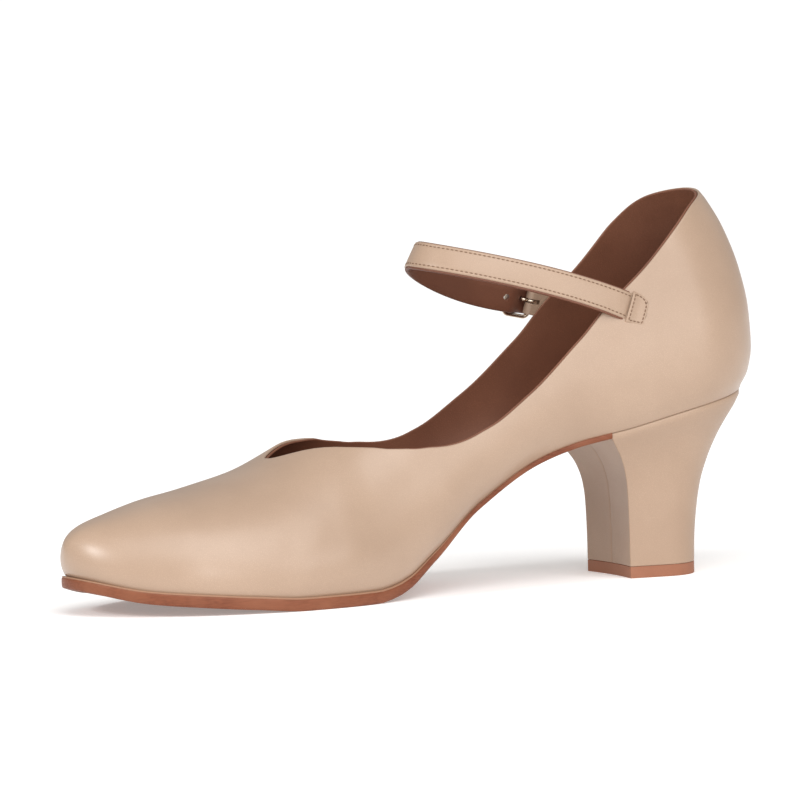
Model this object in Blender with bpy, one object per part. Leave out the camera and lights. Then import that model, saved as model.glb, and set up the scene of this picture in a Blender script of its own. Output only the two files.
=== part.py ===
"""Right character shoe: a leather court shoe with an instep strap and a covered heel.

Metres, +Z up. The toe points along -X, the inner side is -Y, and the outer side is +Y.
The origin lies on the floor under the middle of the shoe.
"""

import math

import bmesh
import bpy
from mathutils import Matrix, Vector
from mathutils.geometry import interpolate_bezier

# Driving sizes of the last, in metres
SHOE_LENGTH = 0.243
BALL_WIDTH = 0.080
HEEL_HEIGHT = 0.0570
TOE_SPRING = 0.0088
INSTEP_HEIGHT = 0.041
TOE_WALL = 0.0086
TOE_BULGE = 0.0019
TOE_BULGE_HEIGHT = 0.0072
BACK_HEIGHT = 0.066
SWELL_WIDTH = 0.0080
SWELL_HEIGHT = 0.018
ARCH_LIFT = 0.0022

# Upper: wall, throat and the rounded ends of the last, as lengths along the shoe
UPPER_WALL = 0.0018
VAMP_LENGTH = 0.0725
THROAT_RADIUS = 0.005
THROAT_SPREAD = 0.55
THROAT_LENGTH = 0.031
THROAT_BLEND = 0.009
TOE_ROUND = 0.038
HEEL_ROUND = 0.0295

# Sole, insole and heel
SOLE_THICKNESS = 0.0044
SOLE_MARGIN = 0.0012
SOLE_EDGE_BEVEL = 0.0007
SOLE_TOP_BEVEL = 0.00035
INSOLE_THICKNESS = 0.0028
INSOLE_EDGE = 0.0005
HEEL_SEAT_LENGTH = 0.0558
BREAST_BOW = 0.0012
LIFT_LENGTH = 0.0287
LIFT_WIDTH = 0.036
LIFT_SET = 0.0097
LIFT_THICKNESS = 0.0036

# Strap: its reach and rise over the instep, its inner end on the quarter and its free tip
STRAP_WIDTH = 0.0092
STRAP_THICKNESS = 0.0018
STRAP_EDGE_BEVEL = 0.0003
STRAP_REACH = 0.0505
STRAP_RISE = 0.0175
STRAP_LEAN = math.radians(28)
CROSSING_SET = 0.0540
ANCHOR_LENGTH = 0.0058
ANCHOR_DROP = math.radians(21)
TIP_LENGTH = 0.031
TIP_DROP = math.radians(12)
TIP_SINK = 0.0020
TIP_ROUND = 0.0050
END_WIDTH = 0.25
HOLE_RADIUS = 0.0011
HOLE_SPACING = 0.0070
HOLE_COUNT = 6

# Buckle and the folded tab that holds it; lengths run back along the strap from the topline
BUCKLE_WIRE = 0.00070
BUCKLE_LENGTH = 0.0090
BUCKLE_CORNER = 0.0018
BUCKLE_SET = 0.0050
BUCKLE_PLAY = 0.0004
PRONG_WIRE = 0.00045
PRONG_OVERHANG = 0.0009
PRONG_PLACE = 0.42
TAB_LAYER = 0.0008
TAB_EDGE_BEVEL = 0.00024
TAB_LENGTH = 0.0120
TAB_WIDTH = 0.0088
TAB_ROUND = 0.0040

# Gap that pieces lying on each other keep
GAP = 0.0003

# How places on the curved surfaces are found: step along the strap, steps on the last as a
# share of its length or an angle, how far each round of a search goes, and its limits
STRAP_STEP = 0.002
LAST_STEP = 0.002
EDGE_STEP = 0.0016
SEARCH_ROUNDS = 60
SEARCH_SHARE = 0.6
LEAST_ANGLE = 0.2
FULL_SINE = 0.98
BEZIER_ROUND = 0.5523

# How finely the pieces are divided
BREAST_CLEAR = 0.012
THROAT_ZONE = 0.155
RISE_ROWS = 10
ANCHOR_STEPS = 3
ARCH_STEPS = 13
TIP_STEPS = 26
CORNER_STEPS = 4
HOOK_STEPS = 8
LOOP_STEPS = 8
TAB_STEPS = 8
HEEL_STEPS = 9
MIDDLE_STEPS = 17
THROAT_STEPS = 7
VAMP_STEPS = 8
TOE_STEPS = 11
WIRE_SIDES = 8
HOLE_SIDES = 12

# The two sides of the shoe, as the sign of Y
INNER = -1
OUTER = 1

# Sections of the last, heel (at 0) to toe (at 1) as shares of SHOE_LENGTH.
# middle and half: centre (towards the outer side) and half width at the feather line, of BALL_WIDTH.
# rise: underside of the sole, of HEEL_HEIGHT. spring: the same at the toe, of TOE_SPRING.
# sole: of SOLE_THICKNESS. crown: top of the closed section over the feather line, of INSTEP_HEIGHT.
# swell_in, swell_out: how far each side swells past the feather line, of SWELL_WIDTH.
# full: shape of the crown, low is boxy and high is peaked. arch: lift of the inner edge, of ARCH_LIFT.
# margin: how far the outsole stands out past the upper, of SOLE_MARGIN.
LAST_COLUMNS = ("at", "middle", "half", "rise", "spring", "sole", "crown",
                "swell_in", "swell_out", "full", "arch", "margin")
LAST_SECTIONS = (
    (0.00, 0.000, 0.375, 1.033, 0.00, 0.50, 2.60, 0.30, 0.30, 0.90, 0.0, 0.00),
    (0.10, 0.000, 0.356, 0.955, 0.00, 0.50, 2.55, 0.38, 0.38, 0.90, 0.0, 0.00),
    (0.20, 0.000, 0.332, 0.847, 0.00, 0.50, 2.45, 0.45, 0.42, 0.90, 0.3, 0.00),
    (0.28, 0.006, 0.305, 0.765, 0.00, 0.50, 2.40, 0.62, 0.48, 0.90, 0.8, 0.00),
    (0.345, 0.014, 0.288, 0.655, 0.00, 0.50, 2.30, 0.85, 0.58, 0.90, 1.0, 0.00),
    (0.42, 0.014, 0.290, 0.455, 0.00, 0.55, 2.10, 0.92, 0.66, 0.90, 1.0, 0.08),
    (0.50, 0.004, 0.345, 0.190, 0.00, 0.75, 1.80, 0.72, 0.62, 0.90, 0.6, 0.40),
    (0.565, -0.008, 0.410, 0.030, 0.00, 0.95, 1.48, 0.48, 0.50, 0.92, 0.2, 0.80),
    (0.61, -0.016, 0.452, 0.000, 0.00, 1.00, 1.28, 0.36, 0.42, 0.94, 0.0, 1.00),
    (0.66, -0.026, 0.484, 0.000, 0.00, 1.00, 1.145, 0.30, 0.36, 0.94, 0.0, 1.00),
    (0.72, -0.038, 0.492, 0.000, 0.00, 1.00, 0.980, 0.26, 0.30, 0.92, 0.0, 1.00),
    (0.79, -0.048, 0.466, 0.000, 0.14, 1.00, 0.836, 0.22, 0.24, 0.88, 0.0, 1.00),
    (0.86, -0.056, 0.412, 0.000, 0.31, 1.00, 0.721, 0.18, 0.18, 0.84, 0.0, 1.00),
    (0.93, -0.062, 0.352, 0.000, 0.51, 0.98, 0.650, 0.14, 0.14, 0.82, 0.0, 1.00),
    (1.00, -0.062, 0.315, 0.000, 1.00, 0.92, 0.600, 0.10, 0.10, 0.82, 0.0, 1.00),
)

# The counter behind the heel: how far back it stands at each height, both of BACK_HEIGHT,
# and how much of that curve each section along the last takes.
COUNTER_COLUMNS = ("up", "back")
COUNTER_CURVE = (
    (0.00, 0.000),
    (0.08, 0.042),
    (0.20, 0.062),
    (0.38, 0.054),
    (0.58, 0.015),
    (0.79, -0.064),
    (0.93, -0.146),
    (1.00, -0.200),
    (1.60, -0.470),
)
LEAN_COLUMNS = ("at", "share")
LEAN_FADE = ((0.0, 1.0), (0.10, 0.95), (0.20, 0.78), (0.33, 0.42), (0.45, 0.12), (0.56, 0.0), (1.0, 0.0))

# Height of the topline over the feather line along each side, of BACK_HEIGHT.
TOPLINE_COLUMNS = ("at", "inner", "outer")
TOPLINE = (
    (0.000, 0.978, 0.978),
    (0.040, 0.955, 0.953),
    (0.093, 0.880, 0.870),
    (0.160, 0.755, 0.737),
    (0.229, 0.630, 0.606),
    (0.279, 0.504, 0.474),
    (0.358, 0.370, 0.344),
    (0.400, 0.353, 0.328),
    (0.433, 0.374, 0.350),
    (0.517, 0.553, 0.540),
    (0.560, 0.650, 0.645),
    (0.600, 0.690, 0.690),
)

# The heel, from its base (up 0) to the seat (up 1): how far the breast and back have flared
# out, and the half width, as shares of the whole change from base to seat.
HEEL_COLUMNS = ("up", "breast", "back", "half")
HEEL_PROFILE = (
    (0.00, 0.00, 0.00, 0.00),
    (0.15, 0.00, 0.02, 0.00),
    (0.32, 0.01, 0.08, 0.01),
    (0.48, 0.03, 0.18, 0.03),
    (0.62, 0.09, 0.34, 0.10),
    (0.75, 0.24, 0.54, 0.26),
    (0.86, 0.50, 0.75, 0.52),
    (0.94, 0.78, 0.91, 0.80),
    (1.00, 1.00, 1.00, 1.00),
)

# The prong between the two bars: how far forward it is at each level, as a share of the way
# from the hinge bar to where it passes through the middle of the strap
PRONG_PLACES = {"under": 0.72, "middle": 1.00, "above": 1.22, "between": 1.55}

# Principled colours, roughness and metallic value
FINISHES = {
    "upper_leather": ((0.56, 0.41, 0.29), 0.42, 0.0),
    "strap_leather": ((0.56, 0.41, 0.29), 0.45, 0.0),
    "heel_cover": ((0.54, 0.39, 0.27), 0.40, 0.0),
    "sole_leather": ((0.36, 0.15, 0.08), 0.55, 0.0),
    "lift_rubber": ((0.36, 0.15, 0.08), 0.60, 0.0),
    "insole_lining": ((0.52, 0.37, 0.25), 0.60, 0.0),
    "buckle_metal": ((0.75, 0.66, 0.52), 0.22, 1.0),
}


def slope(rows, index, column):
    """Slope of a table column at one row, kept level where the values turn."""
    before = (rows[index][column] - rows[index - 1][column]) / (rows[index][0] - rows[index - 1][0])
    after = (rows[index + 1][column] - rows[index][column]) / (rows[index + 1][0] - rows[index][0])
    if before * after <= 0:
        return 0.0
    return 2 * before * after / (before + after)


def read(rows, columns, name, at):
    """Smooth value of a named column of a table at a place between its rows."""
    column = columns.index(name)
    at = min(max(at, rows[0][0]), rows[-1][0])
    k = 0
    while k < len(rows) - 2 and at > rows[k + 1][0]:
        k += 1
    left, right = rows[k], rows[k + 1]
    span = right[0] - left[0]
    chord = (right[column] - left[column]) / span
    start = slope(rows, k, column) if k else chord
    end = slope(rows, k + 1, column) if k + 2 < len(rows) else chord
    t = (at - left[0]) / span
    return ((1 + 2 * t) * (1 - t) ** 2 * left[column] + t * (1 - t) ** 2 * span * start
            + t * t * (3 - 2 * t) * right[column] - t * t * (1 - t) * span * end)


def last(name, at):
    return read(LAST_SECTIONS, LAST_COLUMNS, name, at)


def smooth_step(value, low, high):
    t = min(max((value - low) / (high - low), 0.0), 1.0)
    return t * t * (3 - 2 * t)


def end_round(at):
    """1 along the shoe, falling to 0 at its two ends as on a circle."""
    from_heel = at * SHOE_LENGTH / HEEL_ROUND
    from_toe = (1 - at) * SHOE_LENGTH / TOE_ROUND
    nearest = min(from_heel, from_toe, 1.0)
    return math.sqrt(max(0.0, 1 - (1 - nearest) ** 2))


def toe_round(at):
    """1 along the shoe, falling to 0 at the toe tip."""
    from_toe = min((1 - at) * SHOE_LENGTH / TOE_ROUND, 1.0)
    return math.sqrt(max(0.0, 1 - (1 - from_toe) ** 2))


def along(at):
    """X of a section, with the toe tip at the low end."""
    return SHOE_LENGTH * (0.5 - at)


def middle(at):
    return BALL_WIDTH * last("middle", at)


def half_width(at):
    return BALL_WIDTH * last("half", at) * end_round(at)


def sole_bottom(at, across=0.0):
    """Height of the underside of the sole; across runs from -1 at the inner edge to 1."""
    return (HEEL_HEIGHT * last("rise", at) + TOE_SPRING * last("spring", at)
            - ARCH_LIFT * last("arch", at) * across * 0.5 * (1 - across * 0.3))


def sole_thickness(at):
    return SOLE_THICKNESS * last("sole", at)


def feather_height(at, across=0.0):
    """Height of the line where upper and sole meet."""
    return sole_bottom(at, across) + sole_thickness(at) + GAP


def crown_height(at):
    """Height of the closed section over the feather line."""
    base = INSTEP_HEIGHT * last("crown", at)
    return TOE_WALL + (base - TOE_WALL) * toe_round(at)


def section_width(side, at, angle):
    """Distance of the upper from the middle of its section, at an angle up the section."""
    height = crown_height(at) * math.sin(angle)
    up = height / SWELL_HEIGHT
    swell = SWELL_WIDTH * last("swell_in" if side == INNER else "swell_out", at)
    cosine = max(math.cos(angle), 0.0)
    width = BALL_WIDTH * last("half", at) * cosine ** last("full", at)
    return (width + swell * up * math.exp(1 - up) * cosine) * end_round(at)


def upper_point(side, at, angle):
    """Point on the outside of the upper: angle 0 is the feather line, a quarter turn the crown."""
    height = crown_height(at) * math.sin(angle)
    lean = read(LEAN_FADE, LEAN_COLUMNS, "share", at)
    back = BACK_HEIGHT * read(COUNTER_CURVE, COUNTER_COLUMNS, "back", height / BACK_HEIGHT)
    up = height / TOE_BULGE_HEIGHT
    bulge = TOE_BULGE * (1 - toe_round(at) ** 2) * up * math.exp(1 - up)
    return Vector((
        along(at) + lean * back - bulge,
        middle(at) + side * section_width(side, at, angle),
        feather_height(at, side * end_round(at)) + height,
    ))


def outward_at(side, at, angle):
    """Direction square to the outside of the upper."""
    forward = (upper_point(side, min(at + LAST_STEP, 1.0), angle)
               - upper_point(side, max(at - LAST_STEP, 0.0), angle))
    upward = upper_point(side, at, angle + LAST_STEP) - upper_point(side, at, max(angle - LAST_STEP, 0.0))
    outward = forward.cross(upward) * side
    if not 0.0 < at < 1.0:
        outward.y = 0.0
    return outward.normalized()


def inside_wall(side, at, height, clear):
    """Point a little clear of the inside of the wall, at a height over the feather line."""
    level = feather_height(at, side * end_round(at)) + height
    angle = 0.0
    for _ in range(SEARCH_ROUNDS):
        point = upper_point(side, at, angle) - outward_at(side, at, angle) * (UPPER_WALL + clear)
        rise = crown_height(at) * math.sin(angle) + SEARCH_SHARE * (level - point.z)
        angle = math.asin(min(max(rise / crown_height(at), 0.0), FULL_SINE))
    return point


def throat_at():
    return 1 - VAMP_LENGTH / SHOE_LENGTH


def throat_angle(side, at):
    """Angle at which the section is as narrow as the throat opening is there."""
    behind = (throat_at() - at) * SHOE_LENGTH
    if behind <= 0:
        return math.pi / 2
    opening = math.sqrt(2 * THROAT_RADIUS * behind + (THROAT_SPREAD * behind) ** 2)
    low, high = LEAST_ANGLE, math.pi / 2
    for _ in range(SEARCH_ROUNDS):
        angle = (low + high) / 2
        if section_width(side, at, angle) > opening:
            low = angle
        else:
            high = angle
    return low


def topline_angle(side, at):
    """Angle at which the upper ends: the topline at the sides, the throat in front of it."""
    name = "inner" if side == INNER else "outer"
    height = BACK_HEIGHT * read(TOPLINE, TOPLINE_COLUMNS, name, at)
    by_height = math.asin(min(height / crown_height(at), 1.0))
    corner = throat_at() - THROAT_LENGTH / SHOE_LENGTH
    reach = THROAT_BLEND / SHOE_LENGTH
    share = smooth_step(at, corner - reach, corner + reach)
    return by_height * (1 - share) + throat_angle(side, at) * share if share else by_height


def stations():
    """Places along the last, close together where its ends and the throat turn."""
    heel_end = HEEL_ROUND / SHOE_LENGTH
    toe_start = 1 - TOE_ROUND / SHOE_LENGTH
    corner = throat_at() - THROAT_ZONE
    places = [heel_end * (1 - math.cos(math.pi / 2 * k / HEEL_STEPS)) for k in range(HEEL_STEPS)]
    places += [heel_end + (corner - heel_end) * k / MIDDLE_STEPS for k in range(MIDDLE_STEPS)]
    places += [throat_at() - (throat_at() - corner) * (1 - k / THROAT_STEPS) ** 2
               for k in range(THROAT_STEPS)]
    places += [throat_at() + (toe_start - throat_at()) * k / VAMP_STEPS for k in range(VAMP_STEPS)]
    places += [toe_start + (1 - toe_start) * math.sin(math.pi / 2 * k / TOE_STEPS)
               for k in range(TOE_STEPS)]
    return places + [1.0]


def sole_stations():
    """The places along the last from the heel breast forward."""
    breast = HEEL_SEAT_LENGTH / SHOE_LENGTH
    return [breast + GAP / SHOE_LENGTH] + [at for at in stations() if at > breast + BREAST_CLEAR]


def seat_stations():
    """The places along the last from its back to the heel breast."""
    breast = HEEL_SEAT_LENGTH / SHOE_LENGTH
    return [at for at in stations() if at < breast - BREAST_CLEAR] + [breast]


def outline(places, outset, side):
    """The feather line of one side seen from above, moved outwards by outset(at)."""
    points = []
    for at in places:
        low, high = max(at - EDGE_STEP / 4, 0.0), min(at + EDGE_STEP / 4, 1.0)
        run = along(high) - along(low)
        turn = (middle(high) + side * half_width(high)) - (middle(low) + side * half_width(low))
        if at <= 0.0:
            outward = Vector((1, 0))
        elif at >= 1.0:
            outward = Vector((-1, 0))
        else:
            outward = Vector((turn, -run)).normalized() * side
        edge = Vector((along(at), middle(at) + side * half_width(at)))
        points.append(edge + outward * outset(at))
    return points


def finish(name):
    material = bpy.data.materials.get(name) or bpy.data.materials.new(name)
    colour, roughness, metallic = FINISHES[name]
    material.use_nodes = True
    shader = material.node_tree.nodes["Principled BSDF"]
    shader.inputs["Base Color"].default_value = (*colour, 1)
    shader.inputs["Roughness"].default_value = roughness
    shader.inputs["Metallic"].default_value = metallic
    material.diffuse_color = (*colour, 1)
    return material


def add_object(name, mesh_maker, finish_name, sharp_degrees=35):
    """A new object from a bmesh, with its faces pointing out and round forms shaded smooth."""
    bmesh.ops.recalc_face_normals(mesh_maker, faces=mesh_maker.faces)
    mesh = bpy.data.meshes.new(name)
    mesh_maker.to_mesh(mesh)
    mesh_maker.free()
    mesh.shade_smooth()
    mesh.set_sharp_from_angle(angle=math.radians(sharp_degrees))
    obj = bpy.data.objects.new(name, mesh)
    bpy.context.scene.collection.objects.link(obj)
    mesh.materials.append(finish(finish_name))
    return obj


def sheet(rows):
    """A bmesh sheet from a grid, each of whose vertices goes to its place in rows."""
    down, across = len(rows) - 1, len(rows[0]) - 1
    maker = bmesh.new()
    bmesh.ops.create_grid(maker, x_segments=across, y_segments=down, size=1.0)
    for vertex in maker.verts:
        column = round((vertex.co.x + 1) / 2 * across)
        row = round((vertex.co.y + 1) / 2 * down)
        vertex.co = rows[row][column]
    return maker


def weld(maker, distance=1e-6):
    bmesh.ops.remove_doubles(maker, verts=maker.verts, dist=distance)
    bmesh.ops.dissolve_degenerate(maker, edges=maker.edges, dist=distance)


def tube_through(rings):
    """A closed solid through rings of points, each ring with the same number of them."""
    maker = sheet([ring + ring[:1] for ring in rings])
    weld(maker)
    bmesh.ops.holes_fill(maker, edges=[e for e in maker.edges if e.is_boundary], sides=0)
    return maker


def make_upper():
    """The hollow upper: one sheet round the last, joined along toe, back and crown, then a wall."""
    rows = []
    for j in range(RISE_ROWS + 1):
        ring = []
        for side, places in ((INNER, stations()), (OUTER, stations()[::-1][1:])):
            for at in places:
                ring.append(upper_point(side, at, topline_angle(side, at) * j / RISE_ROWS))
        rows.append(ring)
    maker = sheet(rows)
    weld(maker, 2e-5)
    upper = add_object("upper", maker, "upper_leather", 50)
    wall = upper.modifiers.new("wall", "SOLIDIFY")
    wall.thickness = UPPER_WALL
    wall.offset = -1
    wall.use_even_offset = False
    wall.use_quality_normals = True
    return upper


def add_midline(ring):
    """Adds a middle point to the under and upper face of a ring of a sole, so that they curve."""
    under = (ring[0] + ring[1]) / 2
    half = len(ring) // 2
    over = (ring[half] + ring[half + 1]) / 2
    return [ring[0], under, *ring[1:half + 1], over, *ring[half + 1:]]


def make_outsole():
    """The outsole: from the heel breast forward, a little wider than the upper at the ball."""
    places = sole_stations()

    def edges(inset):
        return [outline(places, lambda at: SOLE_MARGIN * last("margin", at) - inset, side)
                for side in (INNER, OUTER)]

    full, beveled = edges(0.0), edges(SOLE_EDGE_BEVEL)
    rings = []
    for k, at in enumerate(places):
        low = [sole_bottom(at, side) for side in (INNER, OUTER)]
        high = [level + sole_thickness(at) for level in low]
        under, over = SOLE_EDGE_BEVEL * end_round(at), SOLE_TOP_BEVEL * end_round(at)
        ring = []
        for plan, which, level in (
            (beveled, 0, low[0]), (beveled, 1, low[1]),
            (full, 1, low[1] + under), (full, 1, high[1] - over),
            (beveled, 1, high[1]), (beveled, 0, high[0]),
            (full, 0, high[0] - over), (full, 0, low[0] + under),
        ):
            ring.append(Vector((*plan[which][k], level)))
        rings.append(add_midline(ring))
    return add_object("outsole", tube_through(rings), "sole_leather", 40)


def make_insole():
    """The insole: on the bed of the last, its upper edge spreading to the inside of the wall."""
    places = stations()
    bed = [outline(places, lambda at: -(UPPER_WALL + GAP * 2), side) for side in (INNER, OUTER)]
    rings = []
    for k, at in enumerate(places):
        under = [Vector((*bed[which][k], feather_height(at, side)))
                 for which, side in enumerate((INNER, OUTER))]
        edge = [inside_wall(side, at, INSOLE_THICKNESS - INSOLE_EDGE, GAP * 2) for side in (INNER, OUTER)]
        over = [inside_wall(side, at, INSOLE_THICKNESS, GAP * 2 + INSOLE_EDGE)
                for side in (INNER, OUTER)]
        rings.append(add_midline([under[0], under[1], edge[1], over[1], over[0], edge[0]]))
    return add_object("insole", tube_through(rings), "insole_lining", 40)


def seat_ring():
    """The top edge of the heel: round the back from the inner breast corner to the outer one."""
    places = seat_stations()
    inner = outline(places, lambda at: -GAP, INNER)
    outer = outline(places, lambda at: -GAP, OUTER)
    ring = [(inner[k], at, -1) for k, at in reversed(list(enumerate(places)))]
    ring += [(outer[k], at, 1) for k, at in enumerate(places)][1:]
    return ring


def breast_points(inner_corner, outer_corner, bow):
    """Points across the breast, from the outer corner back to the inner one, bowed inwards."""
    points = []
    for share in (0.25, 0.5, 0.75):
        point = outer_corner.lerp(inner_corner, share)
        point.x += bow * 4 * share * (1 - share)
        points.append(point)
    return points


def heel_ring(up, level_of):
    """One ring of the heel, at a share of the way from its base to the seat."""
    seat_front = along(HEEL_SEAT_LENGTH / SHOE_LENGTH)
    seat_back = along(0.0)
    base_front = seat_front + LIFT_SET
    base_back = base_front + LIFT_LENGTH
    front = base_front + (seat_front - base_front) * read(HEEL_PROFILE, HEEL_COLUMNS, "breast", up)
    back = base_back + (seat_back - base_back) * read(HEEL_PROFILE, HEEL_COLUMNS, "back", up)
    ring = seat_ring()
    seat_half = max(abs(point.y - middle(at)) for point, at, _ in ring)
    half = LIFT_WIDTH / 2 + (seat_half - LIFT_WIDTH / 2) * read(HEEL_PROFILE, HEEL_COLUMNS, "half", up)
    points = []
    for point, at, across in ring:
        share = (point.x - seat_front) / (seat_back - seat_front)
        x = front + (back - front) * share
        y = middle(at) + (point.y - middle(at)) * half / seat_half
        points.append(Vector((x, y, level_of(at, across * end_round(at), up))))
    return points + breast_points(points[0], points[-1], BREAST_BOW)


def make_heel():
    """The heel: flared up to the underside of the sole's level, then straight to the seat."""
    base = LIFT_THICKNESS + GAP

    def level(at, across, up):
        return base + (sole_bottom(at, across) - base) * up

    rings = [heel_ring(row[0], level) for row in HEEL_PROFILE]
    rings.append(heel_ring(1.0, lambda at, across, up: feather_height(at, across) - GAP))
    maker = sheet([ring + ring[:1] for ring in rings])
    weld(maker)
    cap_heel(maker, rings)
    return add_object("heel_block", maker, "heel_cover", 40)


def cap_heel(maker, rings):
    """Closes base and seat with strips between facing points, so that the seat can slope."""
    count = len(seat_ring())
    for ring in (rings[0], rings[-1]):
        found = [nearest_vertex(maker, point) for point in ring]
        half = count // 2
        for k in range(half):
            corners = [found[k], found[k + 1], found[count - 2 - k], found[count - 1 - k]]
            corners = list(dict.fromkeys(corners))
            if len(corners) > 2:
                maker.faces.new(corners)
        maker.faces.new([found[0], found[count - 1], *found[count:]])


def nearest_vertex(maker, point):
    return min(maker.verts, key=lambda vertex: (vertex.co - point).length_squared)


def make_top_lift():
    base = heel_ring(0.0, lambda at, across, up: 0.0)
    top = [point + Vector((0, 0, LIFT_THICKNESS)) for point in base]
    return add_object("top_lift", tube_through([base, top]), "lift_rubber", 30)


def on_quarter(side, x, z):
    """Point and outward direction on the outside of the quarter at this X and Z."""
    at, angle = 0.5 - x / SHOE_LENGTH, LEAST_ANGLE
    for _ in range(SEARCH_ROUNDS):
        point = upper_point(side, at, angle)
        at = min(max(at + SEARCH_SHARE * (point.x - x) / SHOE_LENGTH, LAST_STEP), 1 - LAST_STEP)
        rise = crown_height(at) * math.sin(angle) + SEARCH_SHARE * (z - point.z)
        angle = math.asin(min(max(rise / crown_height(at), 0.0), FULL_SINE))
    return upper_point(side, at, angle), outward_at(side, at, angle)


def crossing(side):
    """Place on the topline's edge where the strap's middle line passes over it."""
    at = CROSSING_SET / SHOE_LENGTH
    edge = upper_point(side, at, topline_angle(side, at))
    return edge.x, edge.z - (TIP_SINK if side == OUTER else 0.0)


def quarter_line(side, s):
    """Point and outward direction at a distance s back along the strap's line on the quarter.

    In front of the topline, where s is negative, the line runs on straight.
    """
    x, z = crossing(side)
    drop = ANCHOR_DROP if side == INNER else TIP_DROP
    if s >= 0:
        return on_quarter(side, x + s * math.cos(drop), z - s * math.sin(drop))
    start, outward = on_quarter(side, x, z)
    near, _ = quarter_line(side, STRAP_STEP)
    return start + (near - start).normalized() * s, outward


def strap_lift(s):
    """How far the middle of the strap's thickness stands off the outer quarter's line at s."""
    low = GAP + STRAP_THICKNESS / 2
    over_loop = bar_out() + loop_radius() + GAP + STRAP_THICKNESS / 2
    over_tab = GAP + 2 * TAB_LAYER + GAP + STRAP_THICKNESS / 2
    bar, level = -BUCKLE_SET, loop_radius() / 2
    if s <= bar:
        return low + (over_loop - low) * smooth_step(s, bar - BUCKLE_LENGTH, bar - level)
    if s <= TAB_LENGTH:
        return over_loop + (over_tab - over_loop) * smooth_step(s, bar + level, loop_radius() / 2)
    return over_tab + (low - over_tab) * smooth_step(s, TAB_LENGTH, TAB_LENGTH + STRAP_WIDTH)


def bar_out():
    """Height of the hinge bar of the buckle over the quarter, on which the tab's loop rests."""
    return GAP + loop_radius()


def loop_radius():
    """Outer radius of the tab's loop round the hinge bar of the buckle."""
    return BUCKLE_WIRE + GAP + TAB_LAYER


def strap_route():
    """Places of the strap from its inner end to its tip: middle, outward direction, distance s."""
    front_of_buckle = prong_place() - HOLE_SPACING * 1.2
    lift = GAP + STRAP_THICKNESS / 2
    route = []
    for k in range(ANCHOR_STEPS, -1, -1):
        point, outward = quarter_line(INNER, ANCHOR_LENGTH * k / ANCHOR_STEPS)
        route.append((point + outward * lift, outward, None))
    inner, inner_out, _ = route[-1]
    inner_way = inner - route[-2][0]
    outer_base, outer_out = quarter_line(OUTER, front_of_buckle)
    outer = outer_base + outer_out * strap_lift(front_of_buckle)
    outer_way = outer_base - quarter_line(OUTER, 0.0)[0]
    half_breadth = (outer.y - inner.y) / 2
    front = Vector((
        (inner.x + outer.x) / 2 - STRAP_REACH,
        (inner.y + outer.y) / 2,
        (inner.z + outer.z) / 2 + STRAP_RISE,
    ))
    across = Vector((0, half_breadth * BEZIER_ROUND, 0))
    handle = STRAP_REACH * BEZIER_ROUND
    halves = (
        interpolate_bezier(inner, inner + inner_way.normalized() * handle,
                           front - across, front, ARCH_STEPS + 1),
        interpolate_bezier(front, front + across,
                           outer + outer_way.normalized() * handle, outer, ARCH_STEPS + 1),
    )
    arch = list(halves[0])[1:] + list(halves[1])[1:-1]
    for k, point in enumerate(arch):
        share = (k + 1) / (len(arch) + 1)
        ahead = arch[k + 1] if k + 1 < len(arch) else outer
        behind = arch[k - 1] if k else inner
        way = (ahead - behind).normalized()
        level = Vector((-way.y, way.x, 0)).normalized()
        turn = math.sin(math.pi * share)
        side_lean = math.asin(inner_out.z * (1 - share) + outer_out.z * share)
        lean = side_lean + (STRAP_LEAN - side_lean) * turn
        route.append((point, level * math.cos(lean) + Vector((0, 0, math.sin(lean))), None))
    for k in range(TIP_STEPS + 1):
        s = front_of_buckle + (TIP_LENGTH - front_of_buckle) * k / TIP_STEPS
        point, outward = quarter_line(OUTER, s)
        route.append((point + outward * strap_lift(s), outward, s))
    return route


def band_ring(point, way, outward, half_width, low, high, bevel):
    """Ring of a flat band with its corners taken off, across the way it runs."""
    width_way = way.cross(outward).normalized()
    out = width_way.cross(way).normalized()
    corners = (
        (-half_width + bevel, low), (half_width - bevel, low), (half_width, low + bevel),
        (half_width, high - bevel), (half_width - bevel, high), (-half_width + bevel, high),
        (-half_width, high - bevel), (-half_width, low + bevel),
    )
    return [point + width_way * across + out * up for across, up in corners]


def tip_width(left, full, rounding):
    """Half width of a band whose end is round: left is the distance to the end."""
    if left >= rounding:
        return full
    return full * (END_WIDTH + (1 - END_WIDTH) * math.sqrt(max(0.0, 1 - (1 - left / rounding) ** 2)))


def make_strap():
    route = strap_route()
    rings = []
    for k, (point, outward, s) in enumerate(route):
        ahead = route[min(k + 1, len(route) - 1)][0]
        behind = route[max(k - 1, 0)][0]
        half = STRAP_WIDTH / 2
        if s is not None:
            half = tip_width(TIP_LENGTH - s, half, TIP_ROUND)
        rings.append(band_ring(point, (ahead - behind).normalized(), outward, half,
                               -STRAP_THICKNESS / 2, STRAP_THICKNESS / 2, STRAP_EDGE_BEVEL))
    strap = add_object("strap", tube_through(rings), "strap_leather", 40)
    for k in range(HOLE_COUNT):
        s = prong_place() + HOLE_SPACING * (k - 1)
        point, outward = quarter_line(OUTER, s)
        cut(strap, round_cutter(f"hole_cutter_{k}", point + outward * strap_lift(s),
                                strap_normal(s), HOLE_RADIUS, STRAP_THICKNESS * 3))
    return strap


def strap_normal(s):
    """Outward direction of the strap itself, which the buckle tilts."""
    places = []
    for place in (s - STRAP_STEP / 2, s + STRAP_STEP / 2):
        point, outward = quarter_line(OUTER, place)
        places.append(point + outward * strap_lift(place))
    way = (places[1] - places[0]).normalized()
    width_way = way.cross(outward)
    return width_way.cross(way).normalized()


def prong_place():
    """Where the prong passes through the strap, between the two bars of the buckle."""
    return -BUCKLE_SET - BUCKLE_LENGTH * PRONG_PLACE


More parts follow.
